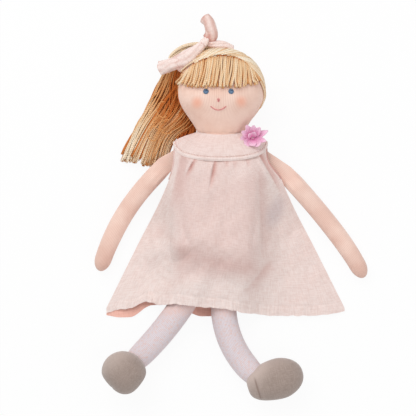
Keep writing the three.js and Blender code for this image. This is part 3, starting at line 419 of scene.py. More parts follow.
def spine(start, headings, length, side):
    """A path on the table by headings, in degrees from the way to the feet, turned to one side"""
    steps = 48
    place = (np.arange(steps) + 0.5) / steps * (len(headings) - 1)
    turn = np.radians(np.interp(place, np.arange(len(headings)), headings))
    strides = np.stack((side * np.sin(turn), -np.cos(turn)), 1) * length / steps
    points = np.concatenate(([start], np.array(start) + strides.cumsum(0)))
    return lambda share: on_path(points, share)


arm_height = profile((0, ARM_SEAM_HEIGHT), (0.55, ARM_THICKNESS / 2 + 0.9), (1, HAND_THICKNESS / 2 + 0.3))
arm_thickness = profile((0, ARM_THICKNESS), (0.6, ARM_THICKNESS), (1, HAND_THICKNESS))
leg_thickness = profile(
    (0, LEG_THICKNESS), (0.5, LEG_THICKNESS), (0.85, ANKLE_THICKNESS), (1, ANKLE_THICKNESS * 0.86),
)
# How each side lies: headings of arm and leg, the arm's reach, the ankle's height, turn and form of the shoe,
# and whether its crease gets painted shade
SIDES = {
    "left": dict(
        side=1, bend=(73.5, 35.5), arm=[45, 42.5, 40, 37.5, 33, 25], reach=ARM_LENGTH + 2.2,
        leg=[-20, 51], ankle=SHOE_WIDTH / 2 - 2,
        toe=(0.955, 0.28, 0.03), sole=(0.28, -0.955, 0), shoe_height=SHOE_WIDTH / 2 + 0.3, heel=0.27,
        shoe_shift=(-1.4, -0.2), heel_curve=0.29, chin=0, girth=0, crease_shade=1,
    ),
    "right": dict(
        side=-1, bend=(-60.8, 45), arm=[44, 42.5, 36, 28.5, 22.5, 15], reach=ARM_LENGTH - 4.4,
        leg=[27.3, 47.4], ankle=BACK_REST + ANKLE_THICKNESS / 2,
        toe=(-0.05, -0.08, 1), sole=(-0.7, -0.7, 0), shoe_height=0.3 + 0.22 * SHOE_LENGTH, heel=0.22,
        shoe_shift=(0, 0.2), heel_curve=0.36, chin=0.22, girth=0.05, crease_shade=0,
    ),
}


# Share of a limb's rows and of its length before the round tip, gathers past the seam, and the sewn groove
TIP_ROWS, TIP_START = 0.86, 0.9
GATHER_DEPTH, GATHER_PLACE, GATHER_REACH = 0.035, 16, 9
GROOVE_DEPTH, GROOVE_WIDTH = 0.022, 0.09


def limb_net(path, height, thickness, length, tab_width, taper, seam, tip):
    """A stuffed tube, flat where it is sewn on; v runs from the seam to the end"""
    def place(u, v):
        share, dome = v, 1.0
        if tip:
            share = domed(v, TIP_ROWS, TIP_START)
            past = np.clip((share - TIP_START) / (1 - TIP_START), 0, 1)
            dome = np.sqrt(np.maximum(1 - past**2, 0))
        spot = path(share)
        along = unit(path(np.minimum(share + 0.02, 1)) - path(np.maximum(share - 0.02, 0)))
        swell = np.clip(share * length / taper, 0, 1)
        ease = (1 - np.cos(np.pi * swell)) / 2
        square = stack(-along[:, 1], along[:, 0], 0)
        across = unit(mix(np.broadcast_to(seam, square.shape), square, swell[:, None]))
        full = thickness(share) / 2
        angle = 2 * np.pi * u
        gather = 1 + GATHER_DEPTH * np.sin(9 * angle + 1) * hump(share * length, GATHER_PLACE, GATHER_REACH)
        half_width = mix(tab_width / 2, full, ease) * dome * gather
        half_depth = mix(SEAM_TAB / 2, full, ease) * dome * gather
        centre = raised(spot, height(share))
        groove = 1 - GROOVE_DEPTH * hump(np.sin(angle), 0, GROOVE_WIDTH) * smooth(share * length, 6, 20)
        wide = (half_width * np.cos(angle) * groove)[:, None] * across
        deep = stack(0, 0, half_depth * np.sin(angle))
        return centre + wide + deep
    return place


def arm_of(name, design):
    """Arm and its flat tab in one skin, from the torso's side to the hand"""
    path = spine(design["bend"], design["arm"], design["reach"], design["side"])
    along = unit(path(0.02) - path(0.0))
    seam = np.array([-along[1], along[0], 0])
    bend = np.array(design["bend"], float)
    seam_y = NECK_Y - ARM_SEAM_DROP
    middle, height, half_width, half_depth = torso_section(seam_y)
    inner = np.array([middle + design["side"] * (half_width - 4), seam_y])
    tube = limb_net(path, arm_height, arm_thickness, design["reach"], ARM_TAB_WIDTH, ARM_TAPER, seam, True)
    tab_share, tab_root = 0.12, 15

    def place(u, v):
        reach = np.clip(v / tab_share, 0, 1)[:, None]
        spot = mix(inner, bend, reach)
        rise = mix(TORSO_HEIGHT - 2, ARM_SEAM_HEIGHT, reach[:, 0])
        angle = 2 * np.pi * u
        wide = (mix(tab_root, ARM_TAB_WIDTH / 2, reach[:, 0]) * np.cos(angle))[:, None] * seam
        tab = raised(spot, rise + SEAM_TAB / 2 * np.sin(angle)) + wide
        stuffed = tube(u, np.clip((v - tab_share) / (1 - tab_share), 0, 1))
        return np.where((v < tab_share)[:, None], tab, stuffed)
    piece = lay_panel(f"{name}_arm_skin", 48, 120, place, closed=True)
    from_hand = np.linalg.norm(places_of(piece)[:, :2] / MM - path(1.0), axis=1)
    note(piece, "tone", 1 - smooth(from_hand, 6, 46))
    return piece, bend, along


def leg_of(name, design):
    hip = (SEAT_OFFSET + design["side"] * LEG_SPACING / 2, SEAT_Y + 2)
    path = spine(hip, design["leg"], LEG_LENGTH + 2, design["side"])
    height = profile(
        (0, SEAT_SEAM_HEIGHT), (0.3, BACK_REST + LEG_THICKNESS / 2), (0.75, BACK_REST + ANKLE_THICKNESS / 2),
        (1, design["ankle"]),
    )
    seam = np.array([1.0, 0, 0])
    tube = limb_net(path, height, leg_thickness, LEG_LENGTH, LEG_TAB_WIDTH, LEG_TAPER, seam, False)
    piece = lay_panel(f"{name}_leg_tights", 56, 96, tube, closed=True)
    # Painted shade under the dress hem, warmer at the top of the leg
    note(piece, "tone", 0.45 * smooth(places_of(piece)[:, 1] / MM, HEM_Y - 14, HEM_Y + 2))
    return piece, path


CREASE_PLACE, CREASE_WIDTH, SHOE_GROOVE, SHOE_GATHER = 0.17, 0.016, 0.03, 0.012


def shoe_of(name, design, path):
    """An egg along the foot, with its middle seam drawn in and gathers at the heel; painted light is noted
    near the ankle and on its side towards the key lamp, and painted shade in a crease there
    """
    along = unit(path(1.0) - path(0.97))
    hub = path(1.0) + along * SHOE_SETBACK + np.array(design["shoe_shift"])
    toe = unit(np.array(design["toe"], float))
    start = np.array([hub[0], hub[1], design["shoe_height"]]) - toe * design["heel"] * SHOE_LENGTH
    across = unit(np.cross(toe, np.array(design["sole"], float)))
    over = unit(np.cross(across, toe))

    def place(u, v):
        share = (1 - np.cos(np.pi * v)) / 2
        full = mix(SHOE_HEEL_WIDTH, SHOE_WIDTH, np.minimum(share / 0.65, 1)) / 2
        egg = (4 * share * (1 - share)) ** np.where(share < 0.5, design["heel_curve"], 0.46)
        angle = 2 * np.pi * u
        groove = 1 - SHOE_GROOVE * hump(np.cos(angle), 0, 0.05) * smooth(share, 0.02, 0.2)
        gather = 1 + SHOE_GATHER * np.sin(11 * angle + 9 * share) * (1 - smooth(share, 0.1, 0.55))
        radius = full * egg * groove * gather
        wide = (radius * np.cos(angle))[:, None] * across
        deep = (radius * SHOE_DEPTH / SHOE_WIDTH * np.sin(angle))[:, None] * over
        points = start + (share * SHOE_LENGTH)[:, None] * toe + wide + deep
        narrow = design["chin"] * smooth(hub[1] - points[:, 1], 0, 22) - design["girth"]
        points[:, 0] = mix(points[:, 0], hub[0], narrow)
        return points
    piece = lay_panel(f"{name}_shoe", 72, 96, place, closed=True)
    places = places_of(piece) / MM
    from_ankle = np.linalg.norm(places - np.append(path(1.0), design["ankle"]), axis=1)
    middle = (places.min(0) + places.max(0)) / 2
    # Painted light: paler near the ankle and on the side that faces the key lamp
    rise = 0.85 * (places[:, 1] - middle[1]) - 0.5 * (places[:, 0] - middle[0])
    pale = 0.85 * (1 - smooth(from_ankle, 10, 30)) + 0.6 * smooth(rise, 2, 26)
    note(piece, "tone", np.clip(pale, 0, 1))
    # Painted shade in a crease near the heel, on the shoe's upper side only
    along_foot = ((places - start) @ toe) / SHOE_LENGTH
    shown = smooth(places[:, 2], middle[2] + 3, middle[2] + 12) * smooth(middle[1] + 6 - places[:, 1], 0, 8)
    note(piece, "crease_shade", hump(along_foot, CREASE_PLACE, CREASE_WIDTH) * shown * design["crease_shade"])
    return piece


def closing(v):
    """1, and 0 on the last row, which draws the end of a form together"""
    return np.where(v > 0.9999, 0, 1)


NECK_GATHER, HEAD_SEAM, CHIN_ROWS = 0.012, 0.012, 0.45


def head_skin():
    def place(u, v):
        station = domed(v, CHIN_ROWS, HEAD_WIDEST)
        y = NECK_Y + station * HEAD_LENGTH - 3 * (1 - smooth(v, 0, 0.06))
        height, half_width, half_depth = head_section(y, 0)
        angle = 2 * np.pi * u
        gather = 1 + NECK_GATHER * np.sin(17 * angle) * hump(station, 0, 0.09)
        seam = 1 - HEAD_SEAM * hump(np.sin(angle), 0, 0.035)
        wide = half_width * np.cos(angle) * gather * seam * closing(v)
        deep = half_depth * np.sin(angle) * gather * closing(v)
        return stack(NECK_OFFSET + wide, y, height + deep)
    return lay_panel("head_skin", 96, 90, place, closed=True)


def torso_skin():
    def place(u, v):
        y = mix(SEAT_Y, NECK_Y, v)
        middle, height, half_width, half_depth = torso_section(y)
        angle = 2 * np.pi * u
        wide = half_width * squared(np.cos(angle), TORSO_FULLNESS)
        deep = half_depth * squared(np.sin(angle), TORSO_FULLNESS)
        return stack(middle + wide, y, height + deep)
    return lay_panel("torso_skin", 64, 60, place, closed=True)


# Dress and collar
BULGE_SHARE = 0.47
BULGE_Y = mix(HEM_Y, UNDERARM_Y, BULGE_SHARE)
dress_half_width = profile(
    (HEM_Y, HEM_WIDTH / 2), (BULGE_Y, mix(HEM_WIDTH, UNDERARM_WIDTH, BULGE_SHARE) / 2 + SIDE_BULGE),
    (UNDERARM_Y, UNDERARM_WIDTH / 2), (CHEST_Y, CHEST_WIDTH / 2), (NECK_Y, CHEST_WIDTH / 2),
)
dress_middle = profile(
    (HEM_Y, HEM_OFFSET), (BULGE_Y, mix(HEM_OFFSET, UNDERARM_OFFSET, BULGE_SHARE) + SIDE_BULGE / 2),
    (UNDERARM_Y, UNDERARM_OFFSET), (CHEST_Y, CHEST_OFFSET), (NECK_Y, CHEST_OFFSET),
)
front_hem = profile(
    (0, -123.5), (0.05, -119.5), (0.13, -116.5), (0.19, -109), (0.25, -112.5), (0.33, -110.5), (0.43, -113.5),
    (0.54, -115.8), (0.65, -122.5), (0.76, -126), (0.9, -125.5), (1, -121),
)
back_hem = profile(
    (0, -125.5), (0.06, -127.8), (0.1, -127.5), (0.19, -114), (0.27, -113.5), (0.34, -121), (0.4, -126.6),
    (0.5, -126.3), (0.56, -115.5), (0.65, -119.5), (0.8, -122), (1, -121),
)
FRONT_SPLIT, SPLIT_SKEW = 0.46, 13
HEM_STITCH, COLLAR_STITCH = 10.8, 0.845
LABEL_X, LABEL_Y = 63, -8
COLLAR_ARCH, COLLAR_WAVE, COLLAR_BAND, COLLAR_GROOVE = 3, 0.5, 0.7, 0.6
# Heights of the front's small folds: drape, soft, fine and long waves, the hem's pucker, groove and flap
DRAPE, SOFT_WAVE, FINE_WAVE, LONG_WAVE, HEM_PUCKER, HEM_GROOVE, HEM_FLAP = 0.8, 0.9, 0.35, 0.55, 0.45, 0.55, 4
# How strongly the torso showing through, the painted shade under the belly and in the tucks, and the left
# side tint the front
TORSO_TONE, BELLY_SHADE, TUCK_SHADE, LEFT_TONE = 0.36, 0.2, 0.75, 0.1
# Sewn tucks and gathers under the collar, and the longer folds: start, end, depth and width
TUCKS = [
    ((-25.5, 54), (-38, 28), 2.6, 1.0),
    ((-4.2, 53), (-11.5, 14), 2.6, 1.0),
    ((8.6, 52), (6, 39), 1.5, 1.1),
    ((14, 52), (18, 37), 1.5, 1.2),
    ((28, 53), (33, 40), 1.6, 1.3),
    ((44, 56), (73, 8), 3.4, 1.5),
    ((-40, 58), (-58, -20), 1.8, 3.2),
    ((46, 20), (50, -84), 1.3, 3.0),
    ((53, -70), (26, -101), 1.4, 2.6),
]
belly_edge = profile((-60, -38), (-53, -46), (-33, -62), (-8, -68), (22, -75), (45, -78), (56, -70))
body_middle = profile(
    (HEM_Y, SEAT_OFFSET - 13.5), (SEAT_Y, SEAT_OFFSET), (UNDERARM_Y, 0), (NECK_Y, NECK_OFFSET),
)
body_half_width = profile(
    (HEM_Y, LEG_SPACING * 0.7 + LEG_THICKNESS), (SEAT_Y, SEAT_WIDTH / 2 + SIDE_FALL),
    (UNDERARM_Y, TORSO_WIDTH / 2 + SIDE_FALL), (NECK_Y, TORSO_WIDTH / 2 + SIDE_FALL),
)


def beside_body(x, y):
    return np.abs(x - body_middle(y)) / body_half_width(y)


def side_seam(y):
    """Share of the rise of the side seams, from the table to the underarms"""
    return smooth(y, UNDERARM_Y - SIDE_SEAM_FALL, UNDERARM_Y + CHEST_EASE)


def dress_top(x, y):
    """Cloth over the body, steep beside it, and spread out nearly flat to the side seams"""
    belly = TORSO_HEIGHT + TORSO_DEPTH / 2 + DRESS_CLOTH + BELLY_EASE
    seat = smooth(y + 0.22 * np.clip(x + 8, -50, 50), SEAT_Y - LAP_RISE, SEAT_Y + SEAT_TAPER * 1.1)
    chest = smooth(y, NECK_Y - COLLAR_DROP - CHEST_EASE, NECK_Y + CHEST_EASE / 3)
    fall = mix(HEM_RISE + LAP_RISE * smooth(y, HEM_Y, SEAT_Y), belly, seat)
    middle = mix(fall, NECK_HEIGHT + NECK_DEPTH / 2 + DRESS_CLOTH, chest)
    edge = mix(BACK_REST + DRESS_CLOTH, ARMHOLE_RISE, side_seam(y))
    share = np.minimum(np.abs(x - dress_middle(y)) / dress_half_width(y), 1)
    steep = 6 - 2.6 * smooth(-x, 15, 45) * hump(y, -52, 18)
    cloth = edge + (middle - edge) * (1 - share**8) / (1 + beside_body(x, y) ** steep)
    grow = DRESS_CLOTH + BELLY_EASE * 0.5
    centre, height, half_width, half_depth = torso_section(y)
    over = (np.abs(x - centre) < half_width + grow) & (y > SEAT_Y) & (y < NECK_Y)
    return np.maximum(cloth, np.where(over, torso_top(x, y, grow), 0))


def collar_tone(u, v):
    """The collar is a little pinker inside its stitched line, darker with painted shade in the stitched
    groove, and palest on the band at its edge
    """
    return 0.2 - 0.15 * smooth(v, 0.85, 0.9) + 0.35 * hump(v, COLLAR_STITCH, 0.014)


def collar_edge(turn):
    cosine = np.cos(turn)
    x = CHEST_OFFSET + COLLAR_WIDTH / 2 * squared(np.sin(turn), COLLAR_FULLNESS)
    y = NECK_Y - mix(SHOULDER_DROP * 0.4, COLLAR_DROP, squared(np.abs(cosine), COLLAR_FULLNESS))
    front = dress_top(x, y) + COLLAR_CLOTH + CLEARANCE
    side = ARMHOLE_RISE + COLLAR_CLOTH
    middle = np.where(cosine > 0, front, COLLAR_CLOTH + CLEARANCE)
    return stack(x, y, mix(side, middle, np.minimum(np.abs(cosine) * 1.6, 1)))


def collar_place(u, v):
    turn = 2 * np.pi * u
    reach = COLLAR_CLOTH + CLEARANCE
    neck = stack(
        NECK_OFFSET + (NECK_WIDTH / 2 + reach) * np.sin(turn),
        NECK_Y - 1.5 + 4 * np.sin(turn) ** 2,
        NECK_HEIGHT + (NECK_DEPTH / 2 + reach) * np.cos(turn),
    )
    place = mix(neck, collar_edge(turn), v[:, None])
    arch = COLLAR_ARCH * np.sin(np.pi * np.clip(v, 0, 1))
    place[:, 0] += arch * np.sin(turn)
    place[:, 2] += arch * np.cos(turn) * np.where(np.cos(turn) > 0, 1, 0.2)
    band = COLLAR_BAND * hump(v, 0.92, 0.05) - COLLAR_GROOVE * hump(v, COLLAR_STITCH, 0.018)
    wave = COLLAR_WAVE * ripple(place[:, 0], place[:, 1], 26, 3) + band - 0.9 * smooth(v, 0.93, 1)
    place[:, 2] += wave * np.where(np.cos(turn) > 0, 1, 0)
    return clear_of_torso(place, COLLAR_CLOTH + 0.9)


def tucked(x, y):
    """Height of the tucks, each a sharp groove with a soft roll beside it"""
    fall = 0
    for start, end, depth, width in TUCKS:
        reach = np.array(end, float) - start
        length = np.linalg.norm(reach)
        share = ((x - start[0]) * reach[0] + (y - start[1]) * reach[1]) / length**2
        across = ((x - start[0]) * reach[1] - (y - start[1]) * reach[0]) / length
        fade = smooth(share, -0.3, 0.0) * (1 - smooth(share, 0.4, 1.05))
        side = np.where(across > 0, width, 3.2 * width)
        fall = fall - depth * fade * hump(across, 0, side)
        fall = fall + 0.55 * depth * fade * hump(across, 2.2 * width, 1.6 * width)
    return fall


def show_through_and_shade(x, y):
    """How far the body shows through the cloth, with painted shade under the belly and in the tucks, from 0
    to 1
    """
    beside = beside_body(x, y)
    touching = 1 - smooth(beside, 0.7, 1.08)
    torso = smooth(y, -92, -68) * (1 - 0.35 * smooth(y, 15, 52))
    # Painted shade where the cloth falls away under the belly, and in the grooves of the tucks
    belly_crescent_shade = hump(y, belly_edge(x) + 6, 9) * (1 - smooth(beside, 0.9, 1.6))
    groove_shade = np.clip(-tucked(x, y) / 3, 0, 1)
    shown = TORSO_TONE * touching * torso + BELLY_SHADE * belly_crescent_shade + TUCK_SHADE * groove_shade
    return np.clip(shown + LEFT_TONE * smooth(x, 50, 95) + 0.06 * ripple(x, y, 34, 8), 0, 1)


def dress_place(u, v):
    """Front panel: u from the doll's right side to its left, v from under the collar to the hem"""
    side = 2 * u - 1
    inside = 0.966
    top_x = CHEST_OFFSET + inside * side * COLLAR_WIDTH / 2
    yoke = (1 - (inside * np.abs(side)) ** COLLAR_FULLNESS) ** (1 / COLLAR_FULLNESS)
    top_y = NECK_Y - mix(SHOULDER_DROP * 0.4, COLLAR_DROP, yoke)
    scallop = 0.3 * np.sin(96 * u + 2 * np.sin(23 * u)) + 0.2 * np.sin(171 * u + 1)
    y = mix(top_y + 2, front_hem(u) + scallop * smooth(v, 0.9, 1), v)
    skew = SPLIT_SKEW * smooth(v, 0.55, 1) * (1 - side**2)
    x = mix(top_x, dress_middle(y) + side * dress_half_width(y) - skew, smooth(v, 0, 0.2))
    edge = np.minimum(smooth(u, 0, 0.05), 1 - smooth(u, 0.95, 1))
    folds = HEM_FOLD * v**3 * (1 - np.cos(2 * np.pi * HEM_FOLDS * u)) / 2
    drape = DRAPE * v * np.sin(2 * np.pi * (9.3 * u + 0.4 * v)) * smooth(v, 0.1, 0.5)
    soft = SOFT_WAVE * ripple(x, y, 30, 5) + FINE_WAVE * ripple(x, y, 11, 6)
    soft = soft + LONG_WAVE * ripple(2.4 * x, 0.5 * y, 22, 9)
    above = (1 - v) * (top_y - front_hem(u))
    hem = HEM_GROOVE * hump(above, HEM_STITCH, 1.5)
    pucker = HEM_PUCKER * np.sin(x * 1.15 + 2 * np.sin(x * 0.31))
    pucker = pucker * smooth(-above, -HEM_STITCH - 4, -HEM_STITCH + 3)
    spread = edge * (folds + drape + soft + pucker - hem)
    z = dress_top(x, y) + spread + tucked(x, y) * smooth(v, 0.015, 0.05)
    under = (1 - smooth(v, 0.0, 0.03)) * 0.8
    flap = HEM_FLAP * hump(u, 0.2, 0.02) * smooth(v, 0.93, 1)
    return stack(x, y, np.maximum(z - under + flap, BACK_REST + DRESS_CLOTH))


def dress_half(name, low, high, columns):
    panel = lay_panel(name, columns, 160, lambda u, v: dress_place(mix(low, high, u), v), flip=True)
    places = places_of(panel) / MM
    # Tone: the body showing through, with painted shade under the belly and in the tucks
    note(panel, "tone", show_through_and_shade(places[:, 0], places[:, 1]))
    up = places[:, 1] - LABEL_Y
    from_label = np.hypot((places[:, 0] - LABEL_X - 0.3 * up) / 13, up / 22)
    note(panel, "label", 1 - smooth(from_label, 0.2, 1.2))
    return panel


def dress_back_place(u, v):
    """Back panel on the table; its sides rise to the underarms"""
    top = NECK_Y - COLLAR_DROP - 0.9
    y = mix(top, back_hem(u), v)
    armhole = 8 * smooth(y, UNDERARM_Y, top)
    side = 2 * u - 1
    x = dress_middle(y) + side * (dress_half_width(y) - armhole - 1.8 * (1 - smooth(v, 0.8, 0.95)))
    edge = np.minimum(smooth(u, 0, 0.06), 1 - smooth(u, 0.94, 1))
    lift = 2.4 * smooth(v, 0.9, 1) * edge * (0.5 + 0.5 * np.sin(2 * np.pi * (3.2 * u + 0.1)))
    seam = side_seam(y) * (ARMHOLE_RISE - 4)
    return stack(x, y, DRESS_CLOTH + lift + seam * np.abs(side) ** 9)


# Finishes
def tint(red, green, blue):
    shares = np.array([red, green, blue]) / 255
    linear = np.where(shares <= 0.04045, shares / 12.92, ((shares + 0.055) / 1.055) ** 2.4)
    return (*linear.tolist(), 1.0)


WHITE = tint(255, 255, 255)


def shader_of(material):
    return material.node_tree.nodes["Principled BSDF"]


def finish(name, roughness, sheen=0.0, specular=0.3):
    material = bpy.data.materials.new(name)
    material.use_nodes = True
    shader = shader_of(material)
    shader.inputs["Roughness"].default_value = roughness
    shader.inputs["Sheen Weight"].default_value = sheen
    shader.inputs["Sheen Roughness"].default_value = 0.5
    shader.inputs["Specular IOR Level"].default_value = specular
    return material


def add(material, kind, sockets=None, **settings):
    """A node of a kind, with its inputs linked or set"""
    node = material.node_tree.nodes.new("ShaderNode" + kind)
    for key, value in settings.items():
        setattr(node, key, value)
    for key, value in (sockets or {}).items():
        if isinstance(value, bpy.types.NodeSocket):
            material.node_tree.links.new(value, node.inputs[key])
        else:
            node.inputs[key].default_value = value
    return node


def math_of(material, kind, first, second):
    return add(material, "Math", {0: first, 1: second}, operation=kind).outputs["Value"]


def scaled(material, value, share):
    return math_of(material, "MULTIPLY", value, share)


def blend_colour(material, kind, factor, first, second):
    node = add(material, "Mix", {0: factor, 6: first, 7: second}, data_type="RGBA", blend_type=kind)
    return node.outputs[2]


def ramp(material, factor, *stops):
    node = add(material, "ValToRGB", {"Fac": factor})
    while len(node.color_ramp.elements) < len(stops):
        node.color_ramp.elements.new(0.5)
    for element, (place, colour) in zip(node.color_ramp.elements, stops):
        element.position = place
        element.color = colour
    return node.outputs["Color"]


def noted(material, name):
    """The number that note() left at each point"""
    return add(material, "Attribute", attribute_name=name).outputs["Fac"]


def coordinates(material, kind):
    return add(material, "TexCoord").outputs[kind]


def stretched(material, place, across, along):
    return add(material, "Mapping", {"Vector": place, "Scale": (across, along, 1)}).outputs["Vector"]


def noise(material, place, scale, detail, **more):
    sockets = {"Vector": place, "Scale": scale, "Detail": detail, **more}
    return add(material, "TexNoise", sockets).outputs["Fac"]


def bands(material, place, way, scale, distortion, detail):
    sockets = {"Vector": place, "Scale": scale, "Distortion": distortion, "Detail": detail}
    return add(material, "TexWave", sockets, wave_type="BANDS", bands_direction=way).outputs["Fac"]


def shaded(material, colour, pattern, dark, low, high, share=1.0):
    """A colour with the low places of a pattern made darker"""
    shade = ramp(material, pattern, (low, dark), (high, WHITE))
    return blend_colour(material, "MULTIPLY", share, colour, shade)


def tinged(material, colour, share, other):
    return blend_colour(material, "MIX", share, colour, other)


def surface(material, colour, *bumps):
    """Sets the colour and stacks bumps of (height, strength, depth in millimetres)"""
    shader = shader_of(material)
    links = material.node_tree.links
    links.new(colour, shader.inputs["Base Color"])
    normal = None
    for height, strength, depth in bumps:
        node = add(material, "Bump", {"Height": height, "Strength": strength, "Distance": depth * MM})
        if normal is not None:
            links.new(normal, node.inputs["Normal"])
        normal = node.outputs["Normal"]
    links.new(normal, shader.inputs["Normal"])
    return material


def weave_of(material, across, along, pitch):
    """Threads both ways on the cloth's own map; across and along stretch the slubs"""
    cloth = coordinates(material, "UV")
    scale = 0.314 / (pitch / 10)
    warp, weft = (bands(material, cloth, way, scale, 1.2, 1.0) for way in "XY")
    slubs = noise(material, stretched(material, cloth, across, along), 1.0, 2.0)
    crossed = noise(material, stretched(material, cloth, along, across), 1.0, 2.0)
    threads = scaled(material, math_of(material, "ADD", warp, weft), 0.5)
    streaks = scaled(material, math_of(material, "ADD", slubs, crossed), 0.5)
    return cloth, threads, streaks


def muslin(name, light, pink, fold_shade):
    """Crinkled double muslin, pinker where the tone at its points says that the body shows through, and
    darkest with painted shade in folds and tucks
    """
    material = finish(name, 0.95, sheen=0.2)
    cloth, threads, streaks = weave_of(material, 6, 0.8, 0.9)
    crinkle = noise(material, cloth, 2.2, 4.0, Roughness=0.6)
    label = scaled(material, noted(material, "label"), 0.42)
    colour = ramp(material, noted(material, "tone"), (0.0, light), (0.75, pink), (1.0, fold_shade))
    colour = tinged(material, colour, label, tint(208, 198, 204))
    colour = shaded(material, colour, streaks, tint(246, 240, 238), 0.4, 0.58)
    colour = shaded(material, colour, threads, tint(236, 232, 231), 0.0, 0.6)
    return surface(material, colour, (crinkle, 0.45, 0.7), (streaks, 0.3, 0.3), (threads, 0.35, 0.16))


def jersey(name, dark, light, cheeks=()):
    """Fine knit, a little darker where the tone at its points says, towards the hands, with blushed cheeks"""
    material = finish(name, 0.9, sheen=0.3)
    place, cloth = coordinates(material, "Object"), coordinates(material, "UV")
    wales = scaled(material, bands(material, cloth, "X", 1.8, 0.4, 1.0), 0.7)
    loops = scaled(material, bands(material, cloth, "Y", 3.6, 0.8, 1.0), 0.3)
    knit = math_of(material, "ADD", wales, loops)
    patches = noise(material, place, 45.0, 3.0)
    colour = ramp(material, patches, (0.35, dark), (0.65, light))
    colour = shaded(material, colour, knit, tint(237, 227, 224), 0.0, 0.6)
    colour = blend_colour(material, "MULTIPLY", noted(material, "tone"), colour, tint(242, 235, 233))
    for cheek in cheeks:
        level = add(material, "VectorMath", {0: place, 1: (1, 1, 0)}, operation="MULTIPLY").outputs["Vector"]
        apart = add(material, "VectorMath", {0: level, 1: vector((*cheek, 0))}, operation="DISTANCE")
        reach = {"Value": apart.outputs["Value"], "From Min": BLUSH_REACH * MM, "From Max": 0.5 * MM}
        near = add(material, "MapRange", reach, interpolation_type="SMOOTHSTEP").outputs["Result"]
        colour = tinged(material, colour, scaled(material, near, 0.66), tint(248, 172, 142))
    return surface(material, colour, (knit, 0.3, 0.18), (patches, 0.15, 0.8))


def tights_knit():
    """Fine lace knit: lilac ground, rose flecks, and warmer painted shade where the tone says that the hem is
    near
    """
    material = finish("tights_knit", 0.92, sheen=0.3)
    cloth = coordinates(material, "UV")
    ribs = bands(material, cloth, "X", 1.9, 0.7, 1.5)
    rows = bands(material, cloth, "Y", 2.6, 1.5, 1.5)
    motif = add(material, "TexVoronoi", {"Vector": cloth, "Scale": 3.4, "Randomness": 0.8})
    reach = {"Value": motif.outputs["Distance"], "From Min": 0.6, "From Max": 0.15}
    dots = add(material, "MapRange", reach).outputs["Result"]
    knit = math_of(material, "MULTIPLY", ribs, rows)
    flecks = scaled(material, math_of(material, "MULTIPLY", dots, noise(material, cloth, 1.7, 2.0)), 1.3)
    colour = ramp(material, knit, (0.0, tint(212, 199, 204)), (0.5, tint(240, 230, 234)))
    colour = tinged(material, colour, flecks, tint(226, 194, 186))
    # Painted shade under the hem, from the tone
    colour = tinged(material, colour, noted(material, "tone"), tint(240, 196, 182))
    return surface(material, colour, (knit, 0.45, 0.3))


def shoe_weave():
    """Grey weave with painted light where the tone at its points says, near the ankle and on the lamp side,
    and painted shade in its crease
    """
    material = finish("shoe_cloth", 0.95, sheen=0.35)
    cloth, threads, streaks = weave_of(material, 9, 1.2, 0.8)
    crease_shade = scaled(material, noted(material, "crease_shade"), 0.6)
    colour = ramp(material, streaks, (0.38, tint(158, 141, 132)), (0.62, tint(175, 158, 149)))
    # Painted light from the tone, then painted shade in the crease
    colour = tinged(material, colour, noted(material, "tone"), tint(208, 190, 181))
    colour = tinged(material, colour, crease_shade, tint(118, 90, 80))
    colour = shaded(material, colour, threads, tint(230, 226, 224), 0.0, 0.7, 0.8)
    return surface(material, colour, (threads, 0.4, 0.2), (streaks, 0.25, 0.3))


def twisted(name, *stops, groove, roughness=0.75, sheen=0.15, specular=0.3):
    """Plied yarn or thread: tones by strand, and the twist as grooves round it"""
    material = finish(name, roughness, sheen, specular)
    wound = stretched(material, coordinates(material, "UV"), 1.2566, 2.6)
    plies = bands(material, wound, "DIAGONAL", 1.0, 0.6, 1.0)
    shade = 255 * (1 - groove * 0.5)
    colour = ramp(material, noted(material, "tone"), *stops)
    colour = shaded(material, colour, plies, tint(shade, shade * 0.95, shade * 0.9), 0.05, 0.5)
    return surface(material, colour, (plies, groove, 0.15))


def petal_cloth():
    material = finish("petal_cloth", 0.75, sheen=0.4)
    veins = bands(material, coordinates(material, "UV"), "X", 1.6, 2.0, 2.0)
    # Darker towards the flower's middle: painted shade in the crevices between the petals
    deep, middle, pale = tint(206, 108, 156), tint(238, 164, 202), tint(253, 212, 232)
    colour = ramp(material, noted(material, "tone"), (0.0, deep), (0.35, middle), (0.9, pale))
    colour = shaded(material, colour, veins, tint(236, 226, 234), 0.0, 0.6)
    return surface(material, colour, (veins, 0.25, 0.2))


def button_shell():
    material = finish("button_shell", 0.3, specular=0.5)
    layers = noise(material, coordinates(material, "Object"), 260.0, 3.0, Distortion=1.5)
    colour = ramp(material, layers, (0.3, tint(228, 216, 210)), (0.7, tint(250, 243, 238)))
    return surface(material, colour, (layers, 0.1, 0.1))


CHEEKS = ((-24.3, 111.7), (23.7, 112.7))
BLUSH_REACH = 9.2
SKIN = jersey("skin_jersey", tint(239, 203, 188), tint(248, 218, 204))
FACE = jersey("face_jersey", tint(243, 207, 190), tint(252, 221, 206), CHEEKS)
PINK = muslin("pink_muslin", tint(246, 231, 226), tint(228, 194, 187), tint(212, 162, 153))
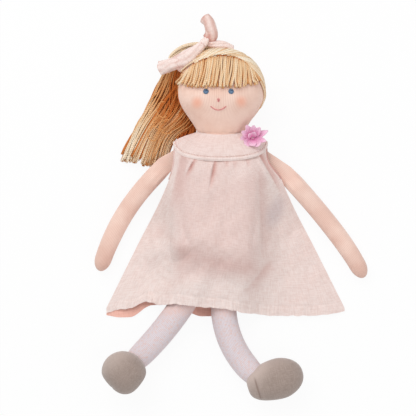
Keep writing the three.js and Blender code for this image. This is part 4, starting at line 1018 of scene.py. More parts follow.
# The inside of the back panel, seen under the front hem: the same muslin painted deeper and redder, as
# painted shade
SHADED_INSIDE = muslin("pink_muslin_inside_shaded", tint(248, 196, 181), tint(240, 178, 162), tint(214, 150, 138))
BOW_PINK = muslin("bow_muslin", tint(253, 236, 230), tint(228, 188, 177), tint(212, 158, 148))
TIGHTS = tights_knit()
SHOE = shoe_weave()
HAIR = twisted(
    "hair_yarn", (0.0, tint(156, 66, 16)), (0.25, tint(206, 118, 52)), (0.5, tint(228, 167, 107)),
    (0.75, tint(241, 209, 169)), (1.0, tint(255, 243, 222)), groove=0.2, sheen=0.05, specular=0.15,
)
BLUE = twisted("blue_thread", (0.0, tint(54, 74, 104)), (1.0, tint(126, 158, 192)), groove=0.3, roughness=0.5)
ROSE = twisted(
    "pink_thread", (0.0, tint(216, 122, 128)), (1.0, tint(238, 156, 158)), groove=0.3, roughness=0.5,
)
SEWING = twisted("muslin_thread", (0.0, tint(226, 196, 188)), (1.0, tint(240, 220, 214)), groove=0.3)
ELASTIC = twisted("tie_elastic", (0.0, tint(150, 104, 60)), (1.0, tint(186, 140, 92)), groove=0.4)
PETAL = petal_cloth()
SHELL = button_shell()


def dress_piece(piece, material, body, slot, *nodes):
    """Finish, body and the nodes that the piece stands for, which are hidden; the slot is not used"""
    piece.data.materials.clear()
    piece.data.materials.append(material)
    if body:
        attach(piece, body)
    if nodes:
        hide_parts(*nodes)
    return piece


# Camera, light and floor
CAMERA_HEIGHT, FRAME_HEIGHT, FRAME_WIDTH, PICTURE_X, PICTURE_Y = 1.55, 0.02, 0.468, -0.0124, -0.0034
lens = bpy.data.cameras.new("camera")
lens.sensor_width = 36
lens.lens = lens.sensor_width * (CAMERA_HEIGHT - FRAME_HEIGHT) / FRAME_WIDTH
camera = linked("camera", lens)
camera.location = (PICTURE_X, PICTURE_Y, CAMERA_HEIGHT)
bpy.context.scene.camera = camera
bpy.context.scene.view_settings.view_transform = "Standard"

for lamp_name, place, size, power in (
    ("key_lamp", (-0.6, 1.1, 1.5), 1.4, 18),
    ("fill_lamp", (0.9, -0.9, 1.4), 1.8, 6.5),
):
    light = bpy.data.lights.new(lamp_name, "AREA")
    light.size = size
    light.energy = power
    lamp = linked(lamp_name, light)
    lamp.location = place
    lamp.rotation_euler = Vector(place).to_track_quat("Z", "Y").to_euler()

world = bpy.data.worlds.new("studio")
world.use_nodes = True
bpy.context.scene.world = world
sky = world.node_tree.nodes["Background"]
sky.inputs["Color"].default_value = (1, 1, 1, 1)
sky.inputs["Strength"].default_value = 0.6

select_none()
bpy.ops.mesh.primitive_plane_add(size=12, location=(0, 0, -0.0004))
floor = bpy.context.object
floor.name = "floor"
pale = finish("pale_floor", 0.9, specular=0.5)
pale_shader = shader_of(pale)
pale_shader.inputs["Base Color"].default_value = (0.9, 0.9, 0.9, 1)
seen = add(pale, "LightPath")
straight = math_of(pale, "MAXIMUM", seen.outputs["Is Camera Ray"], seen.outputs["Is Glossy Ray"])
straight = math_of(pale, "MAXIMUM", straight, seen.outputs["Is Transmission Ray"])
white = add(pale, "Emission", {"Color": (1, 1, 1, 1), "Strength": 1.0})
FLOOR_GLOW = 0.92
glow = scaled(pale, straight, FLOOR_GLOW)
both = add(pale, "MixShader", {0: glow, 1: pale_shader.outputs["BSDF"], 2: white.outputs["Emission"]})
pale.node_tree.links.new(both.outputs["Shader"], pale.node_tree.nodes["Material Output"].inputs["Surface"])
floor.data.materials.append(pale)


# Body
head = dress_piece(head_skin(), FACE, None, "skin_jersey", "head_cover", "head_stuffing")
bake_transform(head)
torso = dress_piece(torso_skin(), SKIN, "torso", "skin_jersey", "torso_cover", "torso_stuffing")

for name, design in SIDES.items():
    arm, bend, along = arm_of(name, design)
    arm_nodes = (f"{name}_arm_{layer}" for layer in ("tab", "cover", "stuffing"))
    dress_piece(arm, SKIN, None, "skin_jersey", *arm_nodes)
    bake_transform(arm)
    leg, path = leg_of(name, design)
    dress_piece(leg, TIGHTS, None, "tights_knit", f"{name}_leg_cover", f"{name}_leg_stuffing")
    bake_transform(leg)
    shoe = shoe_of(name, design, path)
    dress_piece(shoe, SHOE, f"{name}_leg", "shoe_cloth", f"{name}_shoe_cover", f"{name}_shoe_stuffing")


# Face: satin-stitched eyes, a short nose and a backstitched mouth
def face_threads(name, ends, radius, tones, material, slot, node):
    """Straight stitches on the face, each from one (x, y) to another"""
    ends = np.asarray(ends, float)
    shares = np.linspace(0, 1, 7)
    flat = mix(ends[:, None, 0], ends[:, None, 1], shares[None, :, None])
    crown = 0.35 + 0.45 * np.sin(np.pi * shares)
    rise = head_front(flat[..., 0], flat[..., 1]) + crown
    paths = np.concatenate((flat, rise[..., None]), -1)
    return dress_piece(yarn(f"{name}_stitches", paths, radius, 6, tones), material, "head", slot, node)


EYE_SPACING, EYE_RADIUS, PUPIL_HALF = 13.7, 2.85, 1.4
EYE_Y, NOSE_Y, MOUTH_Y = CROWN_Y - 49.2, CROWN_Y - 58.3, CROWN_Y - 65.1
MOUTH_HALF, MOUTH_SAG = 8.5, 4
FACE_THREAD, MOUTH_THREAD = 0.34, 0.52
for name, design in SIDES.items():
    x = FACE_X + design["side"] * EYE_SPACING
    columns = np.linspace(-0.93, 0.93, 13)
    halves = EYE_RADIUS * np.sqrt(1 - columns**2)
    iris = [((c, EYE_Y - half), (c, EYE_Y + half)) for c, half in zip(x + EYE_RADIUS * columns, halves)]
    pupil_x, pupil_y = x + 0.5 + 1.5 * np.linspace(-0.8, 0.8, 7), EYE_Y + 0.6
    pupil = [((c, pupil_y - PUPIL_HALF), (c, pupil_y + PUPIL_HALF)) for c in pupil_x]
    tones = [*(0.35 + 0.4 * (1 - columns**2)), *[0.02] * len(pupil)]
    face_threads(f"{name}_eye", iris + pupil, FACE_THREAD, tones, BLUE, "blue_thread", f"{name}_eye")

nose = [
    ((FACE_X + 0.5 * c, NOSE_Y - 2.2), (FACE_X + 1.1 * c, NOSE_Y + 2.0 - 0.8 * abs(c))) for c in (-1, 0, 1)
]
face_threads("nose", nose, FACE_THREAD, [0.8, 1.0, 0.8], ROSE, "pink_thread", "nose")
smile_x = np.linspace(-MOUTH_HALF, MOUTH_HALF - 0.2, 8)
smile = list(zip(FACE_X + smile_x, MOUTH_Y - MOUTH_SAG * (1 - (smile_x / MOUTH_HALF) ** 2)))
mouth = list(zip(smile[:-1], smile[1:]))
face_threads("mouth", mouth, MOUTH_THREAD, [0.5, 0.9, 0.6, 1.0, 0.6, 0.9, 0.5], ROSE, "pink_thread", "mouth")


# Hair
SEAM_LINE = through(
    [(-37, 147), (-27, 155.3), (-12, 160.6), (2, 163.2), (18, 161), (29, 156.2), (37.5, 148)], 61,
)


def seam_at(share):
    return on_path(SEAM_LINE, share)


# Layers of the fringe: strands, lift off the head, darkest and lightest tone; the under layer's lower tones
# are painted shade
FRINGE_LAYERS = ((46, 0.9, 0.46, 0.64), (42, 2.3, 0.62, 0.88))
FRINGE_RIGHT, FRINGE_LEFT, FRINGE_END, FRINGE_SIDE_RISE, FRINGE_YARN = -47.5, 44.8, 127.2, 7.4, 1.02


def fringe_strands():
    """Cut yarn over the forehead: a close under layer darkened with painted shade, and lighter strands over
    it
    """
    steps = np.linspace(0, 1, 16)[None, :]
    paths, tones = [], []
    for count, lift, dark, light in FRINGE_LAYERS:
        share = (np.arange(count) + 0.5) / count + DRAW.uniform(-0.006, 0.006, count)
        start = seam_at(mix(0.02, 0.98, np.clip(share, 0, 1)))
        end_y = FRINGE_END + FRINGE_SIDE_RISE * np.abs(2 * share - 1) ** 3 + DRAW.uniform(-1.2, 2.4, count)
        end_x = mix(FRINGE_RIGHT, FRINGE_LEFT, share) + DRAW.uniform(-1.0, 1.0, count)
        turn = steps * DRAW.uniform(0.5, 1.1, (count, 1)) + DRAW.uniform(0, 1, (count, 1))
        wave = 0.85 * np.sin(6.3 * turn)
        curl = DRAW.uniform(-1.3, 1.3, (count, 1)) * smooth(steps, 0.78, 1)
        x = mix(start[:, :1], end_x[:, None], steps**1.2) + wave * steps + curl
        y = mix(start[:, 1:], end_y[:, None], steps)
        loose = DRAW.uniform(0, 0.6, (count, 1))
        rise = lift * smooth(steps, -0.12, 0.16) + loose + 0.9 * smooth(steps, 0.7, 1)
        paths.append(stack(x, y, head_front(x, y, rise)))
        # Tones by layer, with painted shade at the roots by the seam
        tones.append(DRAW.uniform(dark, light, (count, 1)) - 0.12 * (1 - smooth(steps, 0, 0.2)))
    tones = np.clip(np.concatenate(tones), 0, 1)
    return yarn("fringe_yarn", np.concatenate(paths), FRINGE_YARN, 7, tones, (0.8, 1.15))


CROWN_EDGE = through(
    [(-14, 176.5, 40), (-2, 178, 38), (14, 175.5, 38), (28, 168.5, 36), (42, 153, 34), (49, 131, 32),
     (48.5, 106, 30)], 101,
)
BACK_RIM = through(
    [(2, 179, 30), (30, 170, 24), (46, 148, 24), (50, 124, 22), (45, 104, 20), (30, 94, 14)], 101,
)
CROWN_STRANDS, NAPE_STRANDS, BACK_STRANDS, ARC_STRANDS = 46, 34, 104, 44
CROWN_YARN, CAP_YARN, CAP_CLOTH, CAP_CLOTH_TONE = 0.8, 0.92, 1.0, 0.68
CROWN_LIGHTEST, CROWN_DARKENING = 1.12, 0.5
# Yarn laid from one path to another, on the left and along the bow: strands, lifts, tones and both paths
SIDE_YARN = (
    (
        22, (0.4, 1.3), (0.84, 1.0),
        [(20, 163.5, 60), (30, 158, 58), (35.5, 151, 56), (41, 139.5, 51), (47, 121, 42), (48.6, 109, 33)],
        [(6, 178, 34), (28, 171, 32), (41, 156, 31), (49, 137, 30), (51, 117, 27), (48, 104, 25)],
    ),
    (
        14, (0.8, 2.2), (0.65, 1.0),
        [(-20, 158.5, 57), (-27, 155, 55), (-33, 152, 51), (-38, 150, 48), (-41, 149, 45), (-43, 148, 43)],
        [(4, 179, 34), (-10, 177, 34), (-22, 173, 33), (-32, 167, 33), (-40, 161, 32), (-44, 157, 33)],
    ),
)
# Places that the yarn at the nape and across the back passes, for its first and its last strand
NAPE_YARN = np.array([[(-24, 94, 8), (-36, 118, 9)], [(-40, 104, 27), (-46.5, 126, 31)]])
BACK_YARN = np.array([
    [(8, 172, 8), (-20, 170, 8), (-36, 166, 18)], [(-2, 98, 0), (-20, 118, 6), (-36, 146, 16)],
])
# Arcs over the tie: a place on each, and how much of an arc's rise that place takes
ARC_YARN = (
    (-6, 176.5, 38, 0.3), (-26, 176.5, 36, 1), (-43, 172.5, 34, 1), (-55, 163, 33, 0.8), (-55, 153, 32, 0.4),
)


def cap_strands():
    """Yarn from the seam over the crown and down the side, and across the back to the tie"""
    rings = 22
    keys, lifts, tones = [], [], []

    def lay(key, lift, tone):
        keys.append(key)
        lifts.append(DRAW.uniform(*lift))
        tones.append(DRAW.uniform(*tone))

    for share in np.linspace(0, 1, CROWN_STRANDS):
        start = np.append(seam_at(mix(0.06, 0.97, share)) + DRAW.uniform(-0.8, 0.8, 2), 60)
        end = CROWN_EDGE[int(share * 100)]
        middle = mix(start, end, 0.5) + (2.5 - 2 * share, 1.5 + 4 * share, 6)
        lay(through([start, middle, end], 6), (1.2, 2.0), (0, 1))
    tones[:] = [CROWN_LIGHTEST - CROWN_DARKENING * tone**2 for tone in tones]
    for count, lift, tone, front, back in SIDE_YARN:
        for share in np.linspace(0, 1, count):
            lay(mix(np.array(front), np.array(back), share), lift, tone)
    for share in np.linspace(0, 1, NAPE_STRANDS):
        lay(through([*mix(*NAPE_YARN, share), TIE - (1, 3, 2)], 6), (0.8, 2.0), (0.1, 0.4))
    for share in np.linspace(0, 1, BACK_STRANDS):
        start = BACK_RIM[int(share * 100)]
        low, middle, near = mix(*BACK_YARN, share)
        bulge = mix(start, low, 0.5) + (4, 0, -8)
        lay(np.array([start, bulge, low, middle, near, TIE - (0, 2, 3)]), (0.7, 1.6), (0.42, 0.75))
    paths = onto_head(through(np.array(keys), rings), np.array(lifts)[:, None] + np.zeros((1, rings)))
    rise = np.linspace(-15, 4, ARC_STRANDS)
    arcs = through(np.stack([stack(x, y + share * rise, z) for x, y, z, share in ARC_YARN], 1), rings)
    arcs[..., 2] += DRAW.uniform(-5, 5, (len(arcs), 1))
    tones = np.concatenate((tones, DRAW.uniform(0.7, 1.0, len(arcs))))
    radii = np.where(np.arange(len(tones)) < CROWN_STRANDS, CROWN_YARN, CAP_YARN)
    return yarn("hair_cap_yarn", np.concatenate((paths, arcs)), radii, 6, np.clip(tones, 0, 1))


TAIL_RINGS, TAIL_STRANDS, CROSSING_STRANDS, WISPS = 24, 290, 26, 40
TAIL_LEFT = through([(-48, 164), (-61.5, 148), (-72.7, 126.5), (-90.2, 93), (-110.5, 50)], TAIL_RINGS)
TAIL_RIGHT = through([(-37, 155), (-30, 138), (-24, 112), (-31, 91), (-52, 74), (-61, 41)], TAIL_RINGS)
WISP_NEAR, WISP_FAR = np.array([[(-37, 155), (-25, 113), (-27, 77)], [(-43, 158), (-38, 112), (-49, 69)]])
YARN_FLOOR = 2.1
# Curls on top of the ponytail: middle, half width and half height
TAIL_CURLS = ((-63, 107, 7, 9), (-58, 88, 9, 8), (-66, 92, 7.5, 7.5), (-74, 80, 6, 8))
CURL_HEIGHT, CURL_TONE, CURL_YARN, SHADE_FILLER_YARN = 21.0, 0.45, 0.6, 1.8
# How much lighter the ponytail is: on top with painted light, at its cut ends and along its outer edge
TOP_PAINTED_LIGHT, TAIL_ENDS, TAIL_OUTER = 0.2, 0.56, 0.38


def tail_place(across, high, shares):
    """A place in the ponytail: across from its outer edge, up from the table, and along from the tie"""
    flat = mix(on_path(TAIL_LEFT, shares), on_path(TAIL_RIGHT, shares), across[..., None])
    root = TIE[2] + 15 * (high - 0.55)
    depth = mix(15, 8, smooth(shares, 0.3, 1)) * (1 - 0.35 * np.abs(2 * across - 1) ** 2)
    return flat[..., 0], flat[..., 1], mix(root, 1.2 + high * depth, smooth(shares, 0.0, 0.5))


def ponytail_under():
    """The close yarn in the middle of the ponytail, under the loose strands, dark with painted shade"""
    def place(u, v):
        narrow = np.sqrt(np.maximum(1 - np.abs(2 * v - 1) ** 10, 0))
        across = 0.5 + 0.42 * np.cos(2 * np.pi * u) * narrow
        high = 0.42 + 0.3 * np.sin(2 * np.pi * u) * narrow
        x, y, z = tail_place(across, high, mix(0.05, 0.8, v))
        return stack(x, y, np.maximum(z, 1.2))

    # Painted shade: dark in the middle, lighter towards the cut ends and the outer edge
    def tone(u, v):
        return 0.1 + 0.3 * v + 0.14 * smooth(-np.cos(2 * np.pi * u), 0.2, 1)
    return lay_panel("ponytail_under_yarn", 48, 60, place, closed=True, tone=tone)


def ponytail_strands():
    """Loose wavy yarn from the tie: dark and close at the root with painted shade, lighter and parted at the
    cut ends
    """
    count, rings, crossing = TAIL_STRANDS, TAIL_RINGS, CROSSING_STRANDS

    def draw(low, high, strands=count):
        return DRAW.uniform(low, high, (strands, 1))

    across = (np.arange(count) + 0.5) / count
    DRAW.shuffle(across)
    across = across[:, None]
    high = draw(0, 1)
    high[:crossing] = draw(0.75, 0.9, crossing)
    shares = np.clip(np.linspace(0, 1, rings) * draw(0.93, 1.02), 0, 1)
    swap = np.clip(across + 0.2 * DRAW.normal(0, 1, (count, 1)) * smooth(shares, 0, 0.9), 0, 1)
    swap[:crossing] = mix(0.9, 0.56, shares[:crossing] ** 0.8) + draw(-0.07, 0.07, crossing)
    parted = np.interp(swap, [0, 0.4, 0.401, 1], [0, 0.345, 0.405, 1])
    swap = mix(swap, parted, smooth(shares, 0.55, 0.95))
    x, y, z = tail_place(swap, high, shares)
    phase, pitch = draw(0, 6.28), draw(4, 11)
    loose = 0.4 + 3.0 * draw(0, 1) ** 2 * smooth(shares, 0.05, 0.5) * (1 - 0.2 * shares)
    x = x + loose * np.sin(phase + pitch * shares)
    y = y + 0.6 * loose * np.cos(phase * 1.7 + pitch * shares)
    z = np.maximum(z + 0.8 * np.sin(phase * 2.3 + 1.6 * pitch * shares) * shares, YARN_FLOOR)

    # Painted light on the upper strands, and painted shade on the lower ones and at the root
    tones = TOP_PAINTED_LIGHT * high**1.5 + TAIL_ENDS * smooth(shares, 0.45, 1) + draw(-0.1, 0.14)
    outer = np.clip(1 - 2.2 * swap, 0, 1) * smooth(shares, -0.05, 0.2)
    tones = tones + TAIL_OUTER * outer * (1 - 0.35 * smooth(shares, 0.5, 1))
    tones[:crossing] = 0.3 + 0.25 * smooth(shares[:crossing], 0.1, 0.6) + draw(-0.08, 0.1, crossing)
    inner = np.abs(across[:, 0] - 0.5) < 0.4
    # Thick dark strands low in the middle: painted shade in the gaps between the strands
    thick = (DRAW.uniform(0, 1, count) < 0.34 * (1 - high[:, 0])) & inner
    tones = np.where(thick[:, None], 0.12 + 0.2 * shares, tones)

    turn = np.linspace(-1.9, 2.2, rings) + np.pi
    curls = [
        stack(curl_x + wide * np.cos(turn), curl_y + tall * np.sin(turn), CURL_HEIGHT)
        for curl_x, curl_y, wide, tall in TAIL_CURLS
    ]
    flat = through(mix(WISP_NEAR, WISP_FAR, DRAW.uniform(0, 1, (WISPS, 1, 1))), rings)
    fall = smooth(np.linspace(0, 1, rings), 0, 0.45)
    low = np.maximum(mix(TIE[2], draw(YARN_FLOOR, 6.5, WISPS), fall), YARN_FLOOR)
    wisps = raised(flat, low)
    wisp_tones = draw(0.05, 0.24, WISPS) + np.zeros(rings)
    paths = np.concatenate((stack(x, y, z), curls, wisps))
    tones = np.concatenate((tones, np.full((len(curls), rings), CURL_TONE), wisp_tones))
    fine = DRAW.uniform(0.6, 0.92, count)
    radii = (np.where(thick, SHADE_FILLER_YARN, fine), np.full(len(curls), CURL_YARN), DRAW.uniform(0.7, 1.3, WISPS))
    return yarn("ponytail_yarn", paths, np.concatenate(radii), 5, np.clip(tones, 0, 1), (0.8, 0.9))


def hair_under():
    """The cloth that the yarn is sewn to, cut off at the hairline and the nape"""
    def place(u, v):
        station = np.sin(mix(0.1, 1, v) * np.pi / 2)
        y = NECK_Y + station * (HEAD_LENGTH + 1)
        height, half_width, half_depth = head_section(y, 1)
        angle = 2 * np.pi * u
        wide = half_width * np.cos(angle) * closing(v)
        return stack(NECK_OFFSET + wide, y, height + half_depth * np.sin(angle) * closing(v))
    piece = lay_panel("hair_cap_cloth", 64, 44, place, closed=True, tone=lambda u, v: CAP_CLOTH_TONE + 0 * v)
    hairline = (2, 162, 57.8), (0.1, 0.45, -0.86)
    nape = (0, NECK_Y + 10, 0), (0, 1, 0)
    active(piece)
    bpy.ops.object.mode_set(mode="EDIT")
    for spot, facing in (hairline, nape):
        bpy.ops.mesh.select_all(action="SELECT")
        bpy.ops.mesh.bisect(plane_co=vector(spot), plane_no=facing, clear_inner=True, use_fill=False)
    bpy.ops.object.mode_set(mode="OBJECT")
    return thicken(piece, CAP_CLOTH)


dress_piece(fringe_strands(), HAIR, "head", "hair_yarn", "fringe")
dress_piece(hair_under(), HAIR, "head", "hair_yarn", "hair_cap")
dress_piece(cap_strands(), HAIR, "head", "hair_yarn")
dress_piece(ponytail_strands(), HAIR, "ponytail", "hair_yarn", "ponytail")
dress_piece(ponytail_under(), HAIR, "ponytail", "hair_yarn")
seam_flat = seam_at(np.linspace(0.1, 0.9, 60))
seam_line = raised(seam_flat, head_front(seam_flat[:, 0], seam_flat[:, 1], 2.4))
seam_stitches = stitches("hair_seam_stitches", seam_line, stitch=2.6, gap=0.8, radius=0.5)
dress_piece(seam_stitches, HAIR, "head", "hair_yarn", "hair_seam")

TIE_RADIUS, TIE_ELASTIC = 8.4, 1.0
turns = np.linspace(0, 2 * np.pi, 33)
tie_along = unit(np.array([-0.56, -0.83, 0]))
tie_across = unit(np.cross(tie_along, [0, 0, 1]))
tie_hoop = TIE_RADIUS * (np.cos(turns)[:, None] * tie_across + np.sin(turns)[:, None] * np.array([0, 0, 1.0]))
tie_rings = [TIE + tie_along * (wrap + 2) + tie_hoop for wrap in (-1.6, 0, 1.6)]
dress_piece(yarn("hair_tie_loops", tie_rings, TIE_ELASTIC, 8), ELASTIC, "ponytail", "tie_elastic", "hair_tie")


def sew(panel, cloth, material, body, node, flat, held, *rests_on):
    """A panel of muslin made as thick as its cloth and put on a body; its cut, hold and what it rests on are
    not used
    """
    thicken(panel, cloth)
    dress_piece(panel, material, body, "pink_muslin", node)


# Heights of the ribbons' crinkle and folds, and their darker tones: painted shade at the knot and in the
# folds, and a darker cut end
RIBBON_CRINKLE, RIBBON_FOLD = 0.5, 0.45
KNOT_SHADE, END_TONE, FOLD_SHADE = 0.6, 0.7, 0.3
KNOT_HALVES, KNOT_SWIRL, KNOT_SLANT = (7.2, 4.6, 4.6), 0.10, math.radians(48)


def ribbon(name, points, widths, roll, tone, seed):
    """A strip along a path whose edges roll under by a share of a full turn"""
    line = through(points, 81)

    def place(u, v):
        spot = on_path(line, v)
        along = unit(on_path(line, v + 0.02) - on_path(line, v - 0.02))
        across = unit(np.cross(along, [0, 0, 1]))
        over = np.cross(across, along)
        side = 2 * u - 1
        bend = np.maximum(roll(v), 0.02) * np.pi
        radius = widths(v) / 2 / bend
        flat = radius * np.sin(side * bend)
        lift = radius * (1 - np.cos(side * bend))
        crinkle = RIBBON_CRINKLE * ripple(side * widths(v) / 2, v * 60, 7, seed)
        crinkle = crinkle + RIBBON_FOLD * np.sin(5.5 * side + 2.4 * np.sin(4 * v + seed)) * smooth(v, 0, 0.15)
        return spot + flat[:, None] * across + (crinkle - lift)[:, None] * over
    return lay_panel(name, 16, 40, place, flip=True, tone=tone)


def bow_piece(name, points, widths, roll, flat, seed, body="head", tone=0.02):
    """One part of the tied strip, with painted shade at the knot, painted shade and highlights in its folds,
    and darker at its cut end
    """
    def shade(u, v):
        ends = KNOT_SHADE * hump(v, 0, 0.2) + END_TONE * smooth(v, 0.95, 1)
        folds = FOLD_SHADE * np.sin(19 * u + 2.2 * np.sin(5 * v + seed)) * smooth(v, 0, 0.15)
        return np.clip(tone + ends + folds, 0, 1)
    piece = ribbon(f"{name}_ribbon", points, profile(*widths), profile(*roll), shade, seed)
    sew(piece, RIBBON_CLOTH, BOW_PINK, body, name, flat, "folded", "head")


bow_piece(
    "bow_band",
    [(-49, 155, 45), (-39, 159.5, 51), (-28.5, 168, 54), (-18, 177, 52)],
    [(0, 21), (0.35, 22), (0.75, 17), (1, 12)], [(0, 0.3), (0.5, 0.4), (1, 0.6)], (24, 44), seed=2,
)
bow_piece(
    "bow_side_tail",
    [(-41, 158.5, 47), (-51, 156.3, 47), (-60, 153.8, 43), (-68, 152, 38)],
    [(0, 14), (0.4, 17), (1, 18)], [(0, 0.4), (0.5, 0.42), (1, 0.36)], (20, 34), seed=3,
)
bow_piece(
    "bow_back_tail",
    [(KNOT[0] + 4, KNOT[1], KNOT[2]), (-2, 177.6, 46), (7, 176.2, 44), (15, 173, 40)],
    [(0, 7), (0.4, 9), (1, 9)], [(0, 0.5), (0.5, 0.25), (1, 0.2)], (12, 34), seed=4,
)
bow_piece(
    "bow_upper_tail",
    [(-12.5, 182.5, 48), (-9, 188, 50), (-9, 194, 51), (-11.6, 202, 51), (-17, 208, 49)],
    [(0, 20), (0.25, 26), (0.6, 25), (1, 24)], [(0, 0.5), (0.3, 0.66), (0.7, 0.72), (1, 0.7)], (28, 32),
    body="bow_tail", seed=5, tone=0.42,
)


def bow_knot():
    select_none()
    bpy.ops.mesh.primitive_uv_sphere_add(segments=32, ring_count=20, radius=1)
    piece = bpy.context.object
    piece.name = piece.data.name = "bow_knot_cloth"
    ball = places_of(piece)
    swirl = 1 + KNOT_SWIRL * np.sin(3 * np.arctan2(ball[:, 2], ball[:, 1]) + 2.2 * ball[:, 0])
    shaped = ball * KNOT_HALVES * swirl[:, None]
    turned = stack(
        shaped[:, 0] * math.cos(KNOT_SLANT) - shaped[:, 1] * math.sin(KNOT_SLANT),
        shaped[:, 0] * math.sin(KNOT_SLANT) + shaped[:, 1] * math.cos(KNOT_SLANT), shaped[:, 2],
    )
    piece.data.vertices.foreach_set("co", ((turned + KNOT + (0, 0.5, 1)) * MM).ravel())
    apply_modifier(piece, "SUBSURF", levels=1, render_levels=1)
    return smoothed(piece)


dress_piece(bow_knot(), BOW_PINK, "head", "pink_muslin", "bow_knot")


# Dress
LAP_START, LAP_END, LAP_HEIGHT, PIPING = -58, -108, 40, 1.25


def leg_weights(piece, name):
    """Places of the front panel against the middle between the legs and the side seam; nothing is set from
    them
    """
    x, y = places_of(piece)[:, :2].T / MM
    middle = mix(SEAT_OFFSET, SEAT_OFFSET - SPLIT_SKEW, smooth(y, SEAT_Y, HEM_Y))
    side = SIDES[name]["side"]
    outer = dress_half_width(y) + (dress_middle(y) - middle) * side


for name, low, high, columns in (("right", 0, FRONT_SPLIT, 136), ("left", FRONT_SPLIT, 1, 156)):
    panel = dress_half(f"dress_front_{name}", low, high, columns)
    sew(panel, DRESS_CLOTH, PINK, None, "dress_front", (170, 200), "draped", "torso", f"{name}_leg")
    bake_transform(panel)
    leg_weights(panel, name)

back = lay_panel("dress_back_panel", 120, 80, dress_back_place, flip=True)
sew(back, DRESS_CLOTH, SHADED_INSIDE, "torso", "dress_back", (270, 180), "laid", "torso")

collar = lay_panel("collar_cloth", 160, 64, collar_place, closed=True, tone=collar_tone)
sew(collar, COLLAR_CLOTH, PINK, "torso", "collar", (130, 130), "laid", "torso")

for name, design in SIDES.items():
    edge = 1.0 if design["side"] > 0 else 0.0
    line = dress_place(np.full(24, edge), np.linspace(0.0, 0.19, 24))
    line[:, 2] -= DRESS_CLOTH / 2
    binding = yarn(f"{name}_armhole_piping", line[None], PIPING, 8)
    dress_piece(binding, PINK, "torso", "pink_muslin", f"{name}_armhole_binding")

collar_turns = np.linspace(-0.235, 0.235, 120)
collar_line = collar_place(collar_turns % 1.0, np.full(120, COLLAR_STITCH))
collar_line[:, 2] += 0.15
collar_stitches = stitches("collar_stitches", collar_line, stitch=2.2, gap=1.4, radius=0.4)
dress_piece(collar_stitches, SEWING, "torso", "pink_muslin")


# Button, by shares of its radius, and its bevel in millimetres
DISH, HOLE_REACH, HOLE_RADIUS, BUTTON_BEVEL = 0.68, 0.24, 0.11, 0.18


def round_cutter(radius, height, x, y, z):
    select_none()
    bpy.ops.mesh.primitive_cylinder_add(
        vertices=32, radius=radius * MM, depth=height * MM, location=(x * MM, y * MM, z * MM),
    )
    active(bpy.context.object)
    bpy.ops.object.transform_apply()
    return bpy.context.object


def cut_out(piece, cutter):
    apply_modifier(piece, "BOOLEAN", operation="DIFFERENCE", object=cutter, solver="EXACT")
    bpy.data.objects.remove(cutter, do_unlink=True)


def sewn_button():
    """A dished shell button with four holes, in the place of the CAD button, facing away from the back"""
    shell = places_of(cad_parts["back_button"]) / MM
    centre = (shell.min(0) + shell.max(0)) / 2
    normal = np.linalg.svd(shell - shell.mean(0), full_matrices=False)[2][2]
    normal = normal * (-1 if normal[2] > 0 else 1)
    thick = np.ptp((shell - centre) @ normal)
    away = shell - centre
    radius = np.linalg.norm(away - (away @ normal)[:, None] * normal, axis=1).max()
    piece = round_cutter(radius, thick, 0, 0, 0)
    piece.name = piece.data.name = "back_button_shell"
    cut_out(piece, round_cutter(radius * DISH, thick * 0.5, 0, 0, thick * 0.5))
    reach = radius * HOLE_REACH
    corners = [(x, y) for x in (-reach, reach) for y in (-reach, reach)]
    holes = [round_cutter(radius * HOLE_RADIUS, thick * 3, x, y, 0) for x, y in corners]
    cut_out(piece, join("holes", holes))
    edges = dict(limit_method="ANGLE", angle_limit=math.radians(40))
    apply_modifier(piece, "BEVEL", width=BUTTON_BEVEL * MM, segments=3, **edges)
    across = unit(np.cross(normal, [0, 1, 0]))
    turned = places_of(piece) @ np.array([across, np.cross(normal, across), normal])
    piece.data.vertices.foreach_set("co", (turned + centre * MM).ravel())
    return smoothed(piece, 35)


dress_piece(sewn_button(), SHELL, "torso", "button_shell", "back_button")


# Flower
FLOWER = collar_place(np.array([0.165]), np.array([0.42]))[0] + np.array([-0.5, 3.5, 2.6])
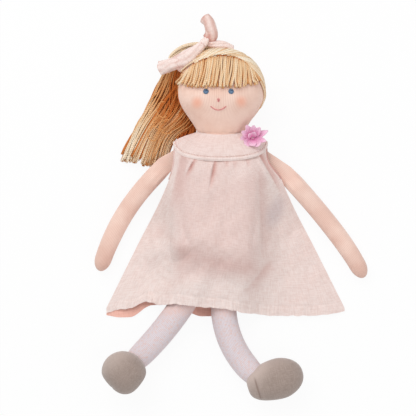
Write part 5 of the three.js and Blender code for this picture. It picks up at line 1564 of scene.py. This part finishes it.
# Where each ring's petals leave the middle, how pointed they are, and their turn, length, width, tilt and cup
PETALS = {
    "flower_outer_petals": (
        1.2, 0.05, ((226, 14, 12, 40, 3), (266, 13, 12, 50, 3), (306, 14, 12, 42, 3), (188, 14, 10, 26, 2.2)),
    ),
    "flower_inner_petals": (
        0.8, 0.55, (
            (152, 15, 9.5, 28, 1.8), (118, 17, 9, 30, 1.6), (86, 16, 10, 38, 1.8), (54, 16, 9.5, 36, 1.8),
            (24, 19, 8, 22, 1.5), (345, 16, 8, 26, 1.5), (70, 11, 8, 60, 1.4), (140, 10, 8, 58, 1.4),
        ),
    ),
}


def petal(turn, length, width, tilt, cup, root, point):
    """A cupped petal that leaves the flower's middle; point 0 is round and 1 is sharp"""
    turn, tilt = math.radians(turn), math.radians(tilt)

    def place(u, v):
        side = 2 * u - 1
        blunt = np.sqrt(np.clip(np.sin(np.pi * np.clip(v * 0.9 + 0.07, 0, 1)), 0, 1)) * (0.55 + 0.45 * v)
        sharp = np.clip(np.sin(np.pi * np.clip(v, 0.04, 0.985) ** 0.8), 0.05, 1)
        half = width / 2 * mix(blunt, sharp, point)
        reach = root + length * math.cos(tilt) * v
        rise = length * math.sin(tilt) * v**1.25 + cup * side**2 * np.sin(np.pi * np.clip(v, 0.05, 1))
        x = reach * math.cos(turn) - half * side * math.sin(turn)
        y = reach * math.sin(turn) + half * side * math.cos(turn)
        return FLOWER + stack(x, y, rise)
    return thicken(lay_panel("petal", 12, 14, place, tone=lambda u, v: v), 0.7)


for name, (root, point, shapes) in PETALS.items():
    petals = [petal(*shape, root, point) for shape in shapes]
    flower = join(f"{name}_cloth", petals)
    dress_piece(flower, PETAL, "torso", "petal_cloth", name)
COIL_TURNS, COIL_RADIUS, COIL_RISE, COIL_THREAD, COIL_TONE = 2.6, 1.5, 0.12, 0.7, 0.2
turns = np.linspace(0, 2 * np.pi * COIL_TURNS, 40)
coil = FLOWER + stack(COIL_RADIUS * np.cos(turns), COIL_RADIUS * np.sin(turns), 0.6 + turns * COIL_RISE)
flower_knot = yarn("flower_knot_thread", coil[None], COIL_THREAD, 6, [COIL_TONE])
dress_piece(flower_knot, PETAL, "torso", "petal_cloth", "flower_knot")
